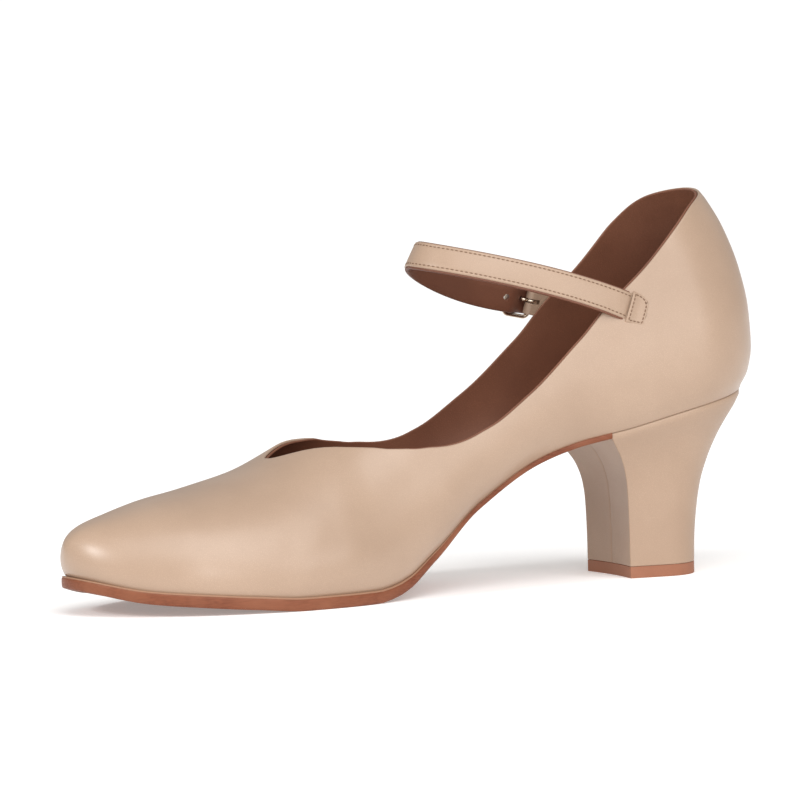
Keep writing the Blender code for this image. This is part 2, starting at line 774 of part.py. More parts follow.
def round_cutter(name, centre, axis, radius, depth):
    maker = bmesh.new()
    bmesh.ops.create_cone(maker, cap_ends=True, segments=HOLE_SIDES,
                          radius1=radius, radius2=radius, depth=depth)
    turn = axis.to_track_quat("Z", "Y").to_matrix().to_4x4()
    bmesh.ops.transform(maker, matrix=Matrix.Translation(centre) @ turn, verts=maker.verts)
    return hidden_cutter(name, maker)


def hidden_cutter(name, maker):
    mesh = bpy.data.meshes.new(name)
    bmesh.ops.recalc_face_normals(maker, faces=maker.faces)
    maker.to_mesh(mesh)
    maker.free()
    cutter = bpy.data.objects.new(name, mesh)
    cutter.hide_render = True
    cutter.display_type = "WIRE"
    bpy.context.scene.collection.objects.link(cutter)
    return cutter


def cut(target, cutter):
    boolean = target.modifiers.new(cutter.name, "BOOLEAN")
    boolean.operation = "DIFFERENCE"
    boolean.solver = "EXACT"
    boolean.object = cutter


def buckle_frame_at(s):
    """Origin and axes of the buckle at s: back along the strap, across it and outwards."""
    point, outward = quarter_line(OUTER, s)
    ahead, _ = quarter_line(OUTER, s - STRAP_STEP)
    back = (point - ahead).normalized()
    across = outward.cross(back).normalized()
    out = back.cross(across).normalized()
    return point, back, across, out


def local_point(frame, back, across, out):
    origin, back_way, across_way, out_way = frame
    return origin + back_way * back + across_way * across + out_way * out


def wire_rings(points, radius, closed):
    """Rings of a round wire along points, kept from twisting."""
    count = len(points)
    rings, side_way = [], None
    for k, point in enumerate(points):
        ahead = points[(k + 1) % count] if closed or k + 1 < count else point
        behind = points[k - 1] if closed or k else point
        way = (ahead - behind).normalized()
        if side_way is None:
            side_way = way.orthogonal()
        side_way = (side_way - way * side_way.dot(way)).normalized()
        up_way = way.cross(side_way)
        rings.append([
            point + (side_way * math.cos(2 * math.pi * j / WIRE_SIDES)
                     + up_way * math.sin(2 * math.pi * j / WIRE_SIDES)) * radius
            for j in range(WIRE_SIDES)])
    return rings


def front_bar_out():
    """Height of the front bar of the buckle, which lies over the strap."""
    front = -BUCKLE_SET - BUCKLE_LENGTH
    return strap_lift(front) + STRAP_THICKNESS / 2 + GAP + BUCKLE_WIRE


def make_buckle_frame():
    """A flat ring of wire: hinge bar at the back, front bar over the strap, round corners."""
    frame = buckle_frame_at(-BUCKLE_SET)
    half = STRAP_WIDTH / 2 + BUCKLE_PLAY + BUCKLE_WIRE
    points = []
    for corner_back, corner_across, start in (
        (-BUCKLE_CORNER, half - BUCKLE_CORNER, 0),
        (-BUCKLE_LENGTH + BUCKLE_CORNER, half - BUCKLE_CORNER, 90),
        (-BUCKLE_LENGTH + BUCKLE_CORNER, -half + BUCKLE_CORNER, 180),
        (-BUCKLE_CORNER, -half + BUCKLE_CORNER, 270),
    ):
        for k in range(CORNER_STEPS + 1):
            turn = math.radians(start + 90 * k / CORNER_STEPS)
            back = corner_back + BUCKLE_CORNER * math.cos(turn)
            across = corner_across + BUCKLE_CORNER * math.sin(turn)
            rise = (front_bar_out() - bar_out()) * -back / BUCKLE_LENGTH
            points.append(local_point(frame, back, across, bar_out() + rise))
    rings = wire_rings(points, BUCKLE_WIRE, True)
    maker = sheet([ring + ring[:1] for ring in rings + rings[:1]])
    weld(maker)
    return add_object("buckle_frame", maker, "buckle_metal", 60)


def make_buckle_prong():
    """The tongue: a hook round the hinge bar, up through the strap and forward over the front bar."""
    frame = buckle_frame_at(-BUCKLE_SET)
    hook = BUCKLE_WIRE + GAP + PRONG_WIRE
    points = []
    for k in range(HOOK_STEPS + 1):
        turn = math.radians(60 - 240 * k / HOOK_STEPS)
        points.append(local_point(frame, hook * math.cos(turn), 0, bar_out() + hook * math.sin(turn)))
    through = prong_place() + BUCKLE_SET
    strap_middle = strap_lift(prong_place())
    over = front_bar_out() + BUCKLE_WIRE + GAP + PRONG_WIRE
    above = strap_middle + STRAP_THICKNESS / 2 + GAP + PRONG_WIRE
    levels = {
        "under": 2 * strap_middle - above,
        "middle": strap_middle,
        "above": above,
        "between": (above + over) / 2 + GAP,
    }
    for name, forward in PRONG_PLACES.items():
        points.append(local_point(frame, through * forward, 0, levels[name]))
    for back in (-BUCKLE_LENGTH, -BUCKLE_LENGTH - BUCKLE_WIRE - PRONG_OVERHANG):
        points.append(local_point(frame, back, 0, over))
    return add_object("buckle_prong", tube_through(wire_rings(points, PRONG_WIRE, False)),
                      "buckle_metal", 60)


def tab_section(s):
    """Low and high face of the folded tab at s: two layers, swelling to a loop round the bar."""
    behind_bar = s + BUCKLE_SET
    swell = math.sqrt(max(loop_radius() ** 2 - behind_bar ** 2, 0.0))
    if behind_bar <= 0:
        return bar_out() - swell, bar_out() + swell
    tab_top = GAP + 2 * TAB_LAYER
    fall = smooth_step(behind_bar, loop_radius() / 2, loop_radius() * 2)
    return GAP, bar_out() + loop_radius() + (tab_top - bar_out() - loop_radius()) * fall


def make_buckle_tab():
    """The folded tab: a loop round the hinge bar with a slot for the prong, sewn to the quarter."""
    start = -BUCKLE_SET - loop_radius()
    places = [start + loop_radius() * (1 - math.cos(math.pi * (k + 0.6) / LOOP_STEPS))
              for k in range(LOOP_STEPS)]
    places += [places[-1] + (TAB_LENGTH - places[-1]) * math.sin(math.pi / 2 * (k + 1) / TAB_STEPS)
               for k in range(TAB_STEPS)]
    rings = []
    for s in places:
        point, back, _, out = buckle_frame_at(s)
        low, high = tab_section(s)
        half = tip_width(TAB_LENGTH - s, TAB_WIDTH / 2, TAB_ROUND)
        rings.append(band_ring(point, back, out, half, low, high, TAB_EDGE_BEVEL))
    tab = add_object("buckle_tab", tube_through(rings), "strap_leather", 40)
    frame = buckle_frame_at(-BUCKLE_SET)
    centre = local_point(frame, 0, 0, bar_out())
    cut(tab, round_cutter("bar_cutter", centre, frame[2], BUCKLE_WIRE + GAP, TAB_WIDTH * 2))
    slot = bmesh.new()
    bmesh.ops.create_cube(slot, size=1.0)
    turn = Matrix((frame[1], frame[2], frame[3])).transposed().to_4x4()
    size = Matrix.Diagonal((loop_radius() * 4, 2 * (PRONG_WIRE + GAP), loop_radius() * 4, 1))
    shift = Matrix.Translation(centre - frame[1] * loop_radius() * 0.6)
    bmesh.ops.transform(slot, matrix=shift @ turn @ size, verts=slot.verts)
    cut(tab, hidden_cutter("slot_cutter", slot))
    return tab


def parent_to_root(objects):
    """Hangs the pieces from one empty that sets the origin on the floor under the shoe's middle."""
    bpy.context.view_layer.update()
    graph = bpy.context.evaluated_depsgraph_get()
    corners = []
    for obj in objects:
        ready = obj.evaluated_get(graph)
        corners += [ready.matrix_world @ Vector(corner) for corner in ready.bound_box]
    root = bpy.data.objects.new("character_shoe", None)
    bpy.context.scene.collection.objects.link(root)
    low = [min(corner[axis] for corner in corners) for axis in range(3)]
    high = [max(corner[axis] for corner in corners) for axis in range(3)]
    root.location = (-(low[0] + high[0]) / 2, -(low[1] + high[1]) / 2, -low[2])
    for obj in list(bpy.data.objects):
        if obj is not root:
            obj.parent = root
    return root


def main():
    for obj in list(bpy.data.objects):
        bpy.data.objects.remove(obj)
    pieces = [
        make_upper(), make_outsole(), make_insole(), make_heel(), make_top_lift(),
        make_strap(), make_buckle_tab(), make_buckle_frame(), make_buckle_prong(),
    ]
    parent_to_root(pieces)


main()
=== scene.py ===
# %% [markdown]
# # A character shoe, dressed in leather
#
# A character shoe is a stage dancer's court shoe. Soft leather is pulled over a wooden or plastic
# last, a thin leather sole and a covered heel go on underneath, and a narrow buckled strap holds
# the shoe over the instep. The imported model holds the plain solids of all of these. This lesson
# keeps each of them where it is and gives it a finer surface, its stitches and its finish.

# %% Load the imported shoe
import functools
import math

import bmesh
import bpy
from mathutils import Matrix, Quaternion, Vector
from mathutils.geometry import interpolate_bezier


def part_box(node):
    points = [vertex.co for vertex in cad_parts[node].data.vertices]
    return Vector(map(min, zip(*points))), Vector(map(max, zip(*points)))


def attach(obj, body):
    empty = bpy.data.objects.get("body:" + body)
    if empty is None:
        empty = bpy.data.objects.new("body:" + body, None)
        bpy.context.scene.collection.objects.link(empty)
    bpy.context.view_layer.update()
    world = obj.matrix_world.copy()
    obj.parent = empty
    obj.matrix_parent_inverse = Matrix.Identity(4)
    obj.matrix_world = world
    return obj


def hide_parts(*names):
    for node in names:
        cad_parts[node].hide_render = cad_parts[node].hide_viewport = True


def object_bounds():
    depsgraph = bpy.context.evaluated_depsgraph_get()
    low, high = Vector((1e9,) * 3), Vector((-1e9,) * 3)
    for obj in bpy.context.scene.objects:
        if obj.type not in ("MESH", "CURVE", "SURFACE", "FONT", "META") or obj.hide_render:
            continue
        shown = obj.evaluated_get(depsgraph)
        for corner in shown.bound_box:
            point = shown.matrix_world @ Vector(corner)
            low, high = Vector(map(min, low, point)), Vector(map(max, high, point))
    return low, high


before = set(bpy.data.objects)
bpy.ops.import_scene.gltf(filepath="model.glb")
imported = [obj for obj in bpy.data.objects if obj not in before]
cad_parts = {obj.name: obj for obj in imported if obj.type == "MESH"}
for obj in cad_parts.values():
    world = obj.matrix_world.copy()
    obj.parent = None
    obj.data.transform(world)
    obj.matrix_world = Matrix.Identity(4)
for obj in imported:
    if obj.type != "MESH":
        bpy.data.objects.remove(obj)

CAD_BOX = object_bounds()
MM = 0.001


def box_size(box):
    """Length, width and height of a box in millimetres."""
    return [round((high - low) / MM, 1) for low, high in zip(*box)]


print("packed nodes:", ", ".join(sorted(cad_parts)))
print("packed box in mm:", box_size(CAD_BOX))

# %% [markdown]
# ## Where the camera stands
#
# The photograph was taken from far away with a long lens, a little above the floor and 25 degrees
# round towards the toe. A short lens close by would show the same side but swell the toe, so the
# lens is long here too. The camera is rolled a little, as the photograph's was, and it looks at a
# point a millimetre nearer the toe than the middle of the shoe's box.

# %% Camera
VIEW_TURN = math.radians(-25)
VIEW_RISE = math.radians(5.2)
VIEW_ROLL = math.radians(1.6)
LENS = 1350.0
SENSOR = 36.0
FRAME_WIDTH = 0.262
CAMERA_REACH = 100
AIM_SHIFT = Vector((-0.0011, 0, -0.0002))

BACK = Vector((
    math.sin(VIEW_TURN) * math.cos(VIEW_RISE),
    -math.cos(VIEW_TURN) * math.cos(VIEW_RISE),
    math.sin(VIEW_RISE),
))
VIEW = (-BACK).to_track_quat("-Z", "Y") @ Quaternion((0, 0, 1), -VIEW_ROLL)
CENTRE = (CAD_BOX[0] + CAD_BOX[1]) / 2
AIM = CENTRE + AIM_SHIFT


def add_camera():
    data = bpy.data.cameras.new("camera")
    data.lens = LENS
    data.sensor_width = SENSOR
    data.clip_end = CAMERA_REACH
    camera = bpy.data.objects.new("camera", data)
    camera.rotation_mode = "QUATERNION"
    camera.rotation_quaternion = VIEW
    camera.location = AIM + BACK * FRAME_WIDTH * LENS / SENSOR
    bpy.context.scene.collection.objects.link(camera)
    bpy.context.scene.camera = camera
    return camera


camera = add_camera()
bpy.context.scene.view_settings.view_transform = "Standard"
print("camera is", round((camera.location - AIM).length, 2), "m away")

# %% [markdown]
# ## Floor and light
#
# A catalogue photograph is lit by large white boxes, so that shadows are soft and the white floor
# has no edge. Here one broad distant light whitens the whole floor and a sky lights the rest. Three
# soft boxes then give the leather its sheen: a key over the toe, one in front and a weak fill from
# the heel. A floor that glows a little stays white, where stronger lights would bleach the leather.

# %% Floor and lights
FLOOR_SIZE = 40.0
FLOOR_PAPER = (0.94, 0.94, 0.94)
FLOOR_GLOW = 0.26
FLOOR_GLOW_TINT = (1.0, 0.97, 0.94)
SKY_STRENGTH = 0.42
WIDE_LIGHT = (1.80, 0.25, 0.95, 0.75)
WIDE_LIGHT_ANGLE = math.radians(50)

# Name, power in watts, then metres to the right, up and nearer in the view, and width in metres
SOFT_BOXES = (
    ("key", 5.2, -0.85, 0.55, 0.70, 0.22),
    ("front", 2.2, 0.25, 0.22, 1.30, 0.30),
    ("fill", 2.0, 0.80, 0.30, 0.75, 0.45),
)


def add_floor():
    maker = bmesh.new()
    bmesh.ops.create_grid(maker, x_segments=1, y_segments=1, size=FLOOR_SIZE / 2)
    mesh = bpy.data.meshes.new("floor")
    maker.to_mesh(mesh)
    maker.free()
    floor = bpy.data.objects.new("floor", mesh)
    bpy.context.scene.collection.objects.link(floor)
    material = bpy.data.materials.new("floor_paper")
    material.use_nodes = True
    shader = material.node_tree.nodes["Principled BSDF"]
    shader.inputs["Base Color"].default_value = (*FLOOR_PAPER, 1)
    shader.inputs["Roughness"].default_value = 0.9
    shader.inputs["Specular IOR Level"].default_value = 0.1
    shader.inputs["Emission Color"].default_value = (*FLOOR_GLOW_TINT, 1)
    shader.inputs["Emission Strength"].default_value = FLOOR_GLOW
    mesh.materials.append(material)


def add_light(name, kind, energy, sideways, upwards, nearer):
    """A light placed in metres along the view's own directions, facing the shoe."""
    data = bpy.data.lights.new(name, kind)
    data.energy = energy
    right = Vector((math.cos(VIEW_TURN), math.sin(VIEW_TURN), 0))
    towards = Vector((BACK.x, BACK.y, 0)).normalized()
    light = bpy.data.objects.new(name, data)
    light.location = CENTRE + right * sideways + Vector((0, 0, upwards)) + towards * nearer
    light.rotation_mode = "QUATERNION"
    light.rotation_quaternion = (CENTRE - light.location).to_track_quat("-Z", "Y")
    bpy.context.scene.collection.objects.link(light)
    return data


def add_sky():
    world = bpy.data.worlds.new("studio")
    world.use_nodes = True
    sky = world.node_tree.nodes["Background"]
    sky.inputs["Color"].default_value = (1.0, 1.0, 1.0, 1)
    sky.inputs["Strength"].default_value = SKY_STRENGTH
    bpy.context.scene.world = world


add_floor()
add_sky()
add_light("wide_light", "SUN", *WIDE_LIGHT).angle = WIDE_LIGHT_ANGLE
for name, watts, sideways, upwards, nearer, width in SOFT_BOXES:
    soft_box = add_light(name, "AREA", watts, sideways, upwards, nearer)
    soft_box.shape = "SQUARE"
    soft_box.size = width
print("lights:", ", ".join(light.name for light in bpy.data.lights))

# %% [markdown]
# ## Leather
#
# Smooth upper leather has fine cells of grain with shallow pores between them, and a finish that
# is satin where it is stretched. A photograph wrapped round the shoe could show that, but it would
# have to be unwrapped and would not carry to another size. Here a Voronoi pattern in the shoe's
# own coordinates makes the cells, and slow noise makes the colour and the gloss vary a little.


# %% Materials for leather, rubber, thread and metal
def new_material(name):
    material = bpy.data.materials.new(name)
    material.use_nodes = True
    return material, material.node_tree.nodes, material.node_tree.links


def add_noise(nodes, links, place, size, detail):
    """Noise whose patches are about size metres wide."""
    noise = nodes.new("ShaderNodeTexNoise")
    noise.inputs["Scale"].default_value = 1 / size
    noise.inputs["Detail"].default_value = detail
    links.new(place.outputs["Object"], noise.inputs["Vector"])
    return noise


def add_range(nodes, links, value, low, high, to_low, to_high):
    """Maps a value from one range to another."""
    mapped = nodes.new("ShaderNodeMapRange")
    for name, number in (("From Min", low), ("From Max", high), ("To Min", to_low), ("To Max", to_high)):
        mapped.inputs[name].default_value = number
    links.new(value, mapped.inputs["Value"])
    return mapped.outputs["Result"]


def add_patches(nodes, links, noise):
    """Spreads a noise, whose values lie near a half, over the whole way from 0 to 1."""
    return add_range(nodes, links, noise.outputs["Fac"], 0.35, 0.65, 0.0, 1.0)


def add_mix(nodes, links, share, first, second):
    """Mixes two colours; each of them is a socket or three numbers."""
    mix = nodes.new("ShaderNodeMix")
    mix.data_type = "RGBA"
    links.new(share, mix.inputs["Factor"])
    for name, colour in (("A", first), ("B", second)):
        socket = next(s for s in mix.inputs if s.name == name and s.type == "RGBA")
        if isinstance(colour, tuple):
            socket.default_value = (*colour, 1)
        else:
            links.new(colour, socket)
    return next(s for s in mix.outputs if s.type == "RGBA")


def add_bump(nodes, links, height, depth):
    """Turns the surface as relief up to depth metres high would."""
    bump = nodes.new("ShaderNodeBump")
    bump.inputs["Distance"].default_value = depth
    links.new(height, bump.inputs["Height"])
    links.new(bump.outputs["Normal"], nodes["Principled BSDF"].inputs["Normal"])


MOTTLE_SIZE = 30 * MM
SMOOTHER = 0.05
DULLER = 0.06
LEATHER_SPECULAR = 0.45
COAT_ROUGHNESS = 0.31

# Width of the pores and size of the fine grain as shares of a cell, the height of that grain as a
# share of the pores' depth, and how much and how far the pores darken the leather
PORE_WIDTH = 0.35
FINE_GRAIN = 0.8
FINE_HEIGHT = 0.5
PORE_STRENGTH = 0.35
PORE_SHADE = 0.80


def leather(name, colour, shade, roughness, cell, depth, coat=0.0):
    """Leather with cells of grain this wide and pores this deep, in metres."""
    material, nodes, links = new_material(name)
    shader = nodes["Principled BSDF"]
    place = nodes.new("ShaderNodeTexCoord")
    cells = nodes.new("ShaderNodeTexVoronoi")
    cells.feature = "DISTANCE_TO_EDGE"
    cells.inputs["Scale"].default_value = 1 / cell
    links.new(place.outputs["Object"], cells.inputs["Vector"])
    pores = add_range(nodes, links, cells.outputs["Distance"], 0.0, PORE_WIDTH, 0.0, 1.0)
    broad = add_noise(nodes, links, place, MOTTLE_SIZE, 3.0)
    fine = add_noise(nodes, links, place, cell * FINE_GRAIN, 2.0)
    base = add_mix(nodes, links, add_patches(nodes, links, broad), colour, shade)
    speck = add_range(nodes, links, pores, 0.0, 1.0, PORE_STRENGTH, 0.0)
    tint = tuple(c * PORE_SHADE for c in shade)
    links.new(add_mix(nodes, links, speck, base, tint), shader.inputs["Base Color"])
    smoothest, dullest = roughness - SMOOTHER, roughness + DULLER
    gloss = add_range(nodes, links, broad.outputs["Fac"], 0.3, 0.7, smoothest, dullest)
    links.new(gloss, shader.inputs["Roughness"])
    height = nodes.new("ShaderNodeMath")
    height.operation = "MULTIPLY_ADD"
    links.new(fine.outputs["Fac"], height.inputs[0])
    height.inputs[1].default_value = FINE_HEIGHT
    links.new(pores, height.inputs[2])
    add_bump(nodes, links, height.outputs["Value"], depth)
    shader.inputs["Specular IOR Level"].default_value = LEATHER_SPECULAR
    shader.inputs["Coat Weight"].default_value = coat
    shader.inputs["Coat Roughness"].default_value = COAT_ROUGHNESS
    return material


TAN = (0.440, 0.303, 0.213)
TAN_SHADE = (0.395, 0.268, 0.186)
# The lining's brown is darkened so that its edge also stands for painted shade along the topline
BROWN = (0.225, 0.088, 0.047)
BROWN_SHADE = (0.170, 0.062, 0.032)
SOCK_BROWN = (0.300, 0.128, 0.070)
BACKING_BROWN = (0.190, 0.072, 0.040)
BACKING_SHADE = (0.150, 0.055, 0.030)
LIFT_BROWN = (0.380, 0.165, 0.092)
LIFT_SHADE = (0.310, 0.125, 0.068)

UPPER_LEATHER = leather("tan_leather", TAN, TAN_SHADE, 0.42, 0.55 * MM, 0.010 * MM, coat=0.45)
STRAP_LEATHER = leather("tan_strap_leather", TAN, TAN_SHADE, 0.44, 0.50 * MM, 0.012 * MM, coat=0.22)
LINING_LEATHER = leather("brown_lining_leather", BROWN, BROWN_SHADE, 0.60, 0.70 * MM, 0.020 * MM)
SOCK_LEATHER = leather("brown_sock_leather", SOCK_BROWN, BROWN, 0.58, 0.80 * MM, 0.020 * MM)
LIFT_RUBBER = leather("brown_lift_rubber", LIFT_BROWN, LIFT_SHADE, 0.62, 0.35 * MM, 0.020 * MM)
BACKING_LEATHER = leather("brown_backing_leather", BACKING_BROWN, BACKING_SHADE, 0.55, 0.45 * MM, 0.012 * MM)
HEEL_LEATHER = leather("tan_heel_leather", TAN, TAN_SHADE, 0.46, 0.55 * MM, 0.008 * MM, coat=0.08)
print("materials:", ", ".join(material.name for material in bpy.data.materials))

# %% [markdown]
# ## The last
#
# Everything soft on the shoe takes its form from the last. Its sections are kept in one short
# table: each row is a section, from the heel (at 0) to the toe (at 1), and each column is a share
# of one driving size. A smooth curve runs through the rows, so the surface can be read anywhere,
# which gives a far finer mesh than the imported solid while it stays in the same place.

# %% Driving sizes and sections of the last
SHOE_LENGTH = 0.243
BALL_WIDTH = 0.080
HEEL_HEIGHT = 0.0570
TOE_SPRING = 0.0088
INSTEP_HEIGHT = 0.041
TOE_WALL = 0.0086
TOE_BULGE = 0.0019
TOE_BULGE_HEIGHT = 0.0072
BACK_HEIGHT = 0.066
SWELL_WIDTH = 0.0080
SWELL_HEIGHT = 0.018
ARCH_LIFT = 0.0022
UPPER_WALL = 0.0018
VAMP_LENGTH = 0.0725
THROAT_RADIUS = 0.005
THROAT_SPREAD = 0.55
THROAT_LENGTH = 0.031
THROAT_BLEND = 0.009
TOE_ROUND = 0.038
HEEL_ROUND = 0.0295
SOLE_THICKNESS = 0.0044
SOLE_MARGIN = 0.0012
GAP = 0.0003
INNER = -1
OUTER = 1
SIDES = (INNER, OUTER)

# Shares: middle, half of BALL_WIDTH; rise of HEEL_HEIGHT; spring of TOE_SPRING; sole of
# SOLE_THICKNESS; crown of INSTEP_HEIGHT; swells of SWELL_WIDTH; arch of ARCH_LIFT; margin of
# SOLE_MARGIN. The power called full says how full the side of the section is.
LAST_COLUMNS = ("at", "middle", "half", "rise", "spring", "sole", "crown",
                "swell_in", "swell_out", "full", "arch", "margin")
LAST_SECTIONS = (
    (0.00, 0.000, 0.375, 1.033, 0.00, 0.50, 2.60, 0.30, 0.30, 0.90, 0.0, 0.00),
    (0.10, 0.000, 0.356, 0.955, 0.00, 0.50, 2.55, 0.38, 0.38, 0.90, 0.0, 0.00),
    (0.20, 0.000, 0.332, 0.847, 0.00, 0.50, 2.45, 0.45, 0.42, 0.90, 0.3, 0.00),
    (0.28, 0.006, 0.305, 0.765, 0.00, 0.50, 2.40, 0.62, 0.48, 0.90, 0.8, 0.00),
    (0.345, 0.014, 0.288, 0.655, 0.00, 0.50, 2.30, 0.85, 0.58, 0.90, 1.0, 0.00),
    (0.42, 0.014, 0.290, 0.455, 0.00, 0.55, 2.10, 0.92, 0.66, 0.90, 1.0, 0.08),
    (0.50, 0.004, 0.345, 0.190, 0.00, 0.75, 1.80, 0.72, 0.62, 0.90, 0.6, 0.40),
    (0.565, -0.008, 0.410, 0.030, 0.00, 0.95, 1.48, 0.48, 0.50, 0.92, 0.2, 0.80),
    (0.61, -0.016, 0.452, 0.000, 0.00, 1.00, 1.28, 0.36, 0.42, 0.94, 0.0, 1.00),
    (0.66, -0.026, 0.484, 0.000, 0.00, 1.00, 1.145, 0.30, 0.36, 0.94, 0.0, 1.00),
    (0.72, -0.038, 0.492, 0.000, 0.00, 1.00, 0.980, 0.26, 0.30, 0.92, 0.0, 1.00),
    (0.79, -0.048, 0.466, 0.000, 0.14, 1.00, 0.836, 0.22, 0.24, 0.88, 0.0, 1.00),
    (0.86, -0.056, 0.412, 0.000, 0.31, 1.00, 0.721, 0.18, 0.18, 0.84, 0.0, 1.00),
    (0.93, -0.062, 0.352, 0.000, 0.51, 0.98, 0.650, 0.14, 0.14, 0.82, 0.0, 1.00),
    (1.00, -0.062, 0.315, 0.000, 1.00, 0.92, 0.600, 0.10, 0.10, 0.82, 0.0, 1.00),
)

# How far back the counter stands at each height, both of BACK_HEIGHT, and how much of that
# curve each section takes
COUNTER_COLUMNS = ("up", "back")
COUNTER_CURVE = ((0.00, 0.000), (0.08, 0.042), (0.20, 0.062), (0.38, 0.054), (0.58, 0.015),
                 (0.79, -0.064), (0.93, -0.146), (1.00, -0.200), (1.60, -0.470))
LEAN_COLUMNS = ("at", "share")
LEAN_FADE = ((0.0, 1.0), (0.10, 0.95), (0.20, 0.78), (0.33, 0.42), (0.45, 0.12), (0.56, 0.0), (1.0, 0.0))

# Height of the topline over the feather line along each side, of BACK_HEIGHT
TOPLINE_COLUMNS = ("at", "inner", "outer")
TOPLINE = (
    (0.000, 0.978, 0.978), (0.040, 0.955, 0.953), (0.093, 0.880, 0.870), (0.160, 0.755, 0.737),
    (0.229, 0.630, 0.606), (0.279, 0.504, 0.474), (0.358, 0.370, 0.344), (0.400, 0.353, 0.328),
    (0.433, 0.374, 0.350), (0.517, 0.553, 0.540), (0.560, 0.650, 0.645), (0.600, 0.690, 0.690),
)


def slope(rows, index, column):
    """Slope of a table column at one row, kept level where the values turn."""
    before = (rows[index][column] - rows[index - 1][column]) / (rows[index][0] - rows[index - 1][0])
    after = (rows[index + 1][column] - rows[index][column]) / (rows[index + 1][0] - rows[index][0])
    if before * after <= 0:
        return 0.0
    return 2 * before * after / (before + after)


def read(rows, columns, name, at):
    """Smooth value of a named column of a table at a place between its rows."""
    column = columns.index(name)
    at = min(max(at, rows[0][0]), rows[-1][0])
    k = 0
    while k < len(rows) - 2 and at > rows[k + 1][0]:
        k += 1
    left, right = rows[k], rows[k + 1]
    span = right[0] - left[0]
    chord = (right[column] - left[column]) / span
    start = slope(rows, k, column) if k else chord
    end = slope(rows, k + 1, column) if k + 2 < len(rows) else chord
    t = (at - left[0]) / span
    return ((1 + 2 * t) * (1 - t) ** 2 * left[column] + t * (1 - t) ** 2 * span * start
            + t * t * (3 - 2 * t) * right[column] - t * t * (1 - t) * span * end)


@functools.cache
def last(name, at):
    return read(LAST_SECTIONS, LAST_COLUMNS, name, at)


print("sections:", len(LAST_SECTIONS))
print("half width at the ball in mm:", round(BALL_WIDTH * last("half", 0.72) / MM, 1))

# %% [markdown]
# ## From sections to a surface
#
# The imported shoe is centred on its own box, and the table is centred on the last, so the two
# differ by a small shift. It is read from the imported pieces: the toe end of the outsole gives X,
# and the middle of the top lift gives Y.

# %% Points on the last
SHIFT = Vector((
    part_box("outsole")[0].x + SHOE_LENGTH / 2 + SOLE_MARGIN,
    (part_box("top_lift")[0].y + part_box("top_lift")[1].y) / 2,
    0.0,
))
ARCH_SHARE = 0.5
ARCH_INWARDS = 0.3
LAST_STEP = 0.002
LEAST_ANGLE = 0.2
HALVINGS = 30


def smooth_step(value, low, high):
    t = min(max((value - low) / (high - low), 0.0), 1.0)
    return t * t * (3 - 2 * t)


def round_off(left, radius):
    """0 at an end and 1 from a radius away, as on a circle; left is the distance to the end."""
    return math.sqrt(max(0.0, 1 - (1 - min(left / radius, 1.0)) ** 2))


def toe_round(at):
    return round_off((1 - at) * SHOE_LENGTH, TOE_ROUND)


def end_round(at):
    """1 along the shoe, falling to 0 at its two ends."""
    return min(round_off(at * SHOE_LENGTH, HEEL_ROUND), toe_round(at))


def along(at):
    return SHIFT.x + SHOE_LENGTH * (0.5 - at)


def middle(at):
    return SHIFT.y + BALL_WIDTH * last("middle", at)


def half_width(at):
    return BALL_WIDTH * last("half", at) * end_round(at)


def sole_bottom(at, across=0.0):
    """Height of the underside of the sole; across runs from -1 at the inner edge to 1."""
    return (HEEL_HEIGHT * last("rise", at) + TOE_SPRING * last("spring", at)
            - ARCH_LIFT * last("arch", at) * across * ARCH_SHARE * (1 - across * ARCH_INWARDS))


def sole_thickness(at):
    return SOLE_THICKNESS * last("sole", at)


def feather_height(at, across=0.0):
    """Height of the line where upper and sole meet."""
    return sole_bottom(at, across) + sole_thickness(at) + GAP


def crown_height(at):
    base = INSTEP_HEIGHT * last("crown", at)
    return TOE_WALL + (base - TOE_WALL) * toe_round(at)


def section_width(side, at, angle):
    """Distance of the upper from the middle of its section, at an angle up the section."""
    height = crown_height(at) * math.sin(angle)
    up = height / SWELL_HEIGHT
    swell = SWELL_WIDTH * last("swell_in" if side == INNER else "swell_out", at)
    cosine = max(math.cos(angle), 0.0)
    width = BALL_WIDTH * last("half", at) * cosine ** last("full", at)
    return (width + swell * up * math.exp(1 - up) * cosine) * end_round(at)


def upper_point(side, at, angle):
    """Point on the outside of the upper: angle 0 is the feather line, a quarter turn the crown."""
    height = crown_height(at) * math.sin(angle)
    lean = read(LEAN_FADE, LEAN_COLUMNS, "share", at)
    back = BACK_HEIGHT * read(COUNTER_CURVE, COUNTER_COLUMNS, "back", height / BACK_HEIGHT)
    up = height / TOE_BULGE_HEIGHT
    bulge = TOE_BULGE * (1 - toe_round(at) ** 2) * up * math.exp(1 - up)
    return Vector((
        along(at) + lean * back - bulge,
        middle(at) + side * section_width(side, at, angle),
        feather_height(at, side * end_round(at)) + height,
    ))


def outward_at(side, at, angle):
    """Direction square to the outside of the upper."""
    forward = (upper_point(side, min(at + LAST_STEP, 1.0), angle)
               - upper_point(side, max(at - LAST_STEP, 0.0), angle))
    upward = (upper_point(side, at, min(angle + LAST_STEP, math.pi / 2))
              - upper_point(side, at, max(angle - LAST_STEP, 0.0)))
    outward = forward.cross(upward) * side
    if not 0.0 < at < 1.0:
        outward.y = 0.0
    return outward.normalized()


def throat_at():
    return 1 - VAMP_LENGTH / SHOE_LENGTH


def throat_angle(side, at):
    """Angle at which the section is as narrow as the throat opening is there."""
    behind = (throat_at() - at) * SHOE_LENGTH
    if behind <= 0:
        return math.pi / 2
    opening = math.sqrt(2 * THROAT_RADIUS * behind + (THROAT_SPREAD * behind) ** 2)
    low, high = LEAST_ANGLE, math.pi / 2
    for _ in range(HALVINGS):
        angle = (low + high) / 2
        if section_width(side, at, angle) > opening:
            low = angle
        else:
            high = angle
    return low


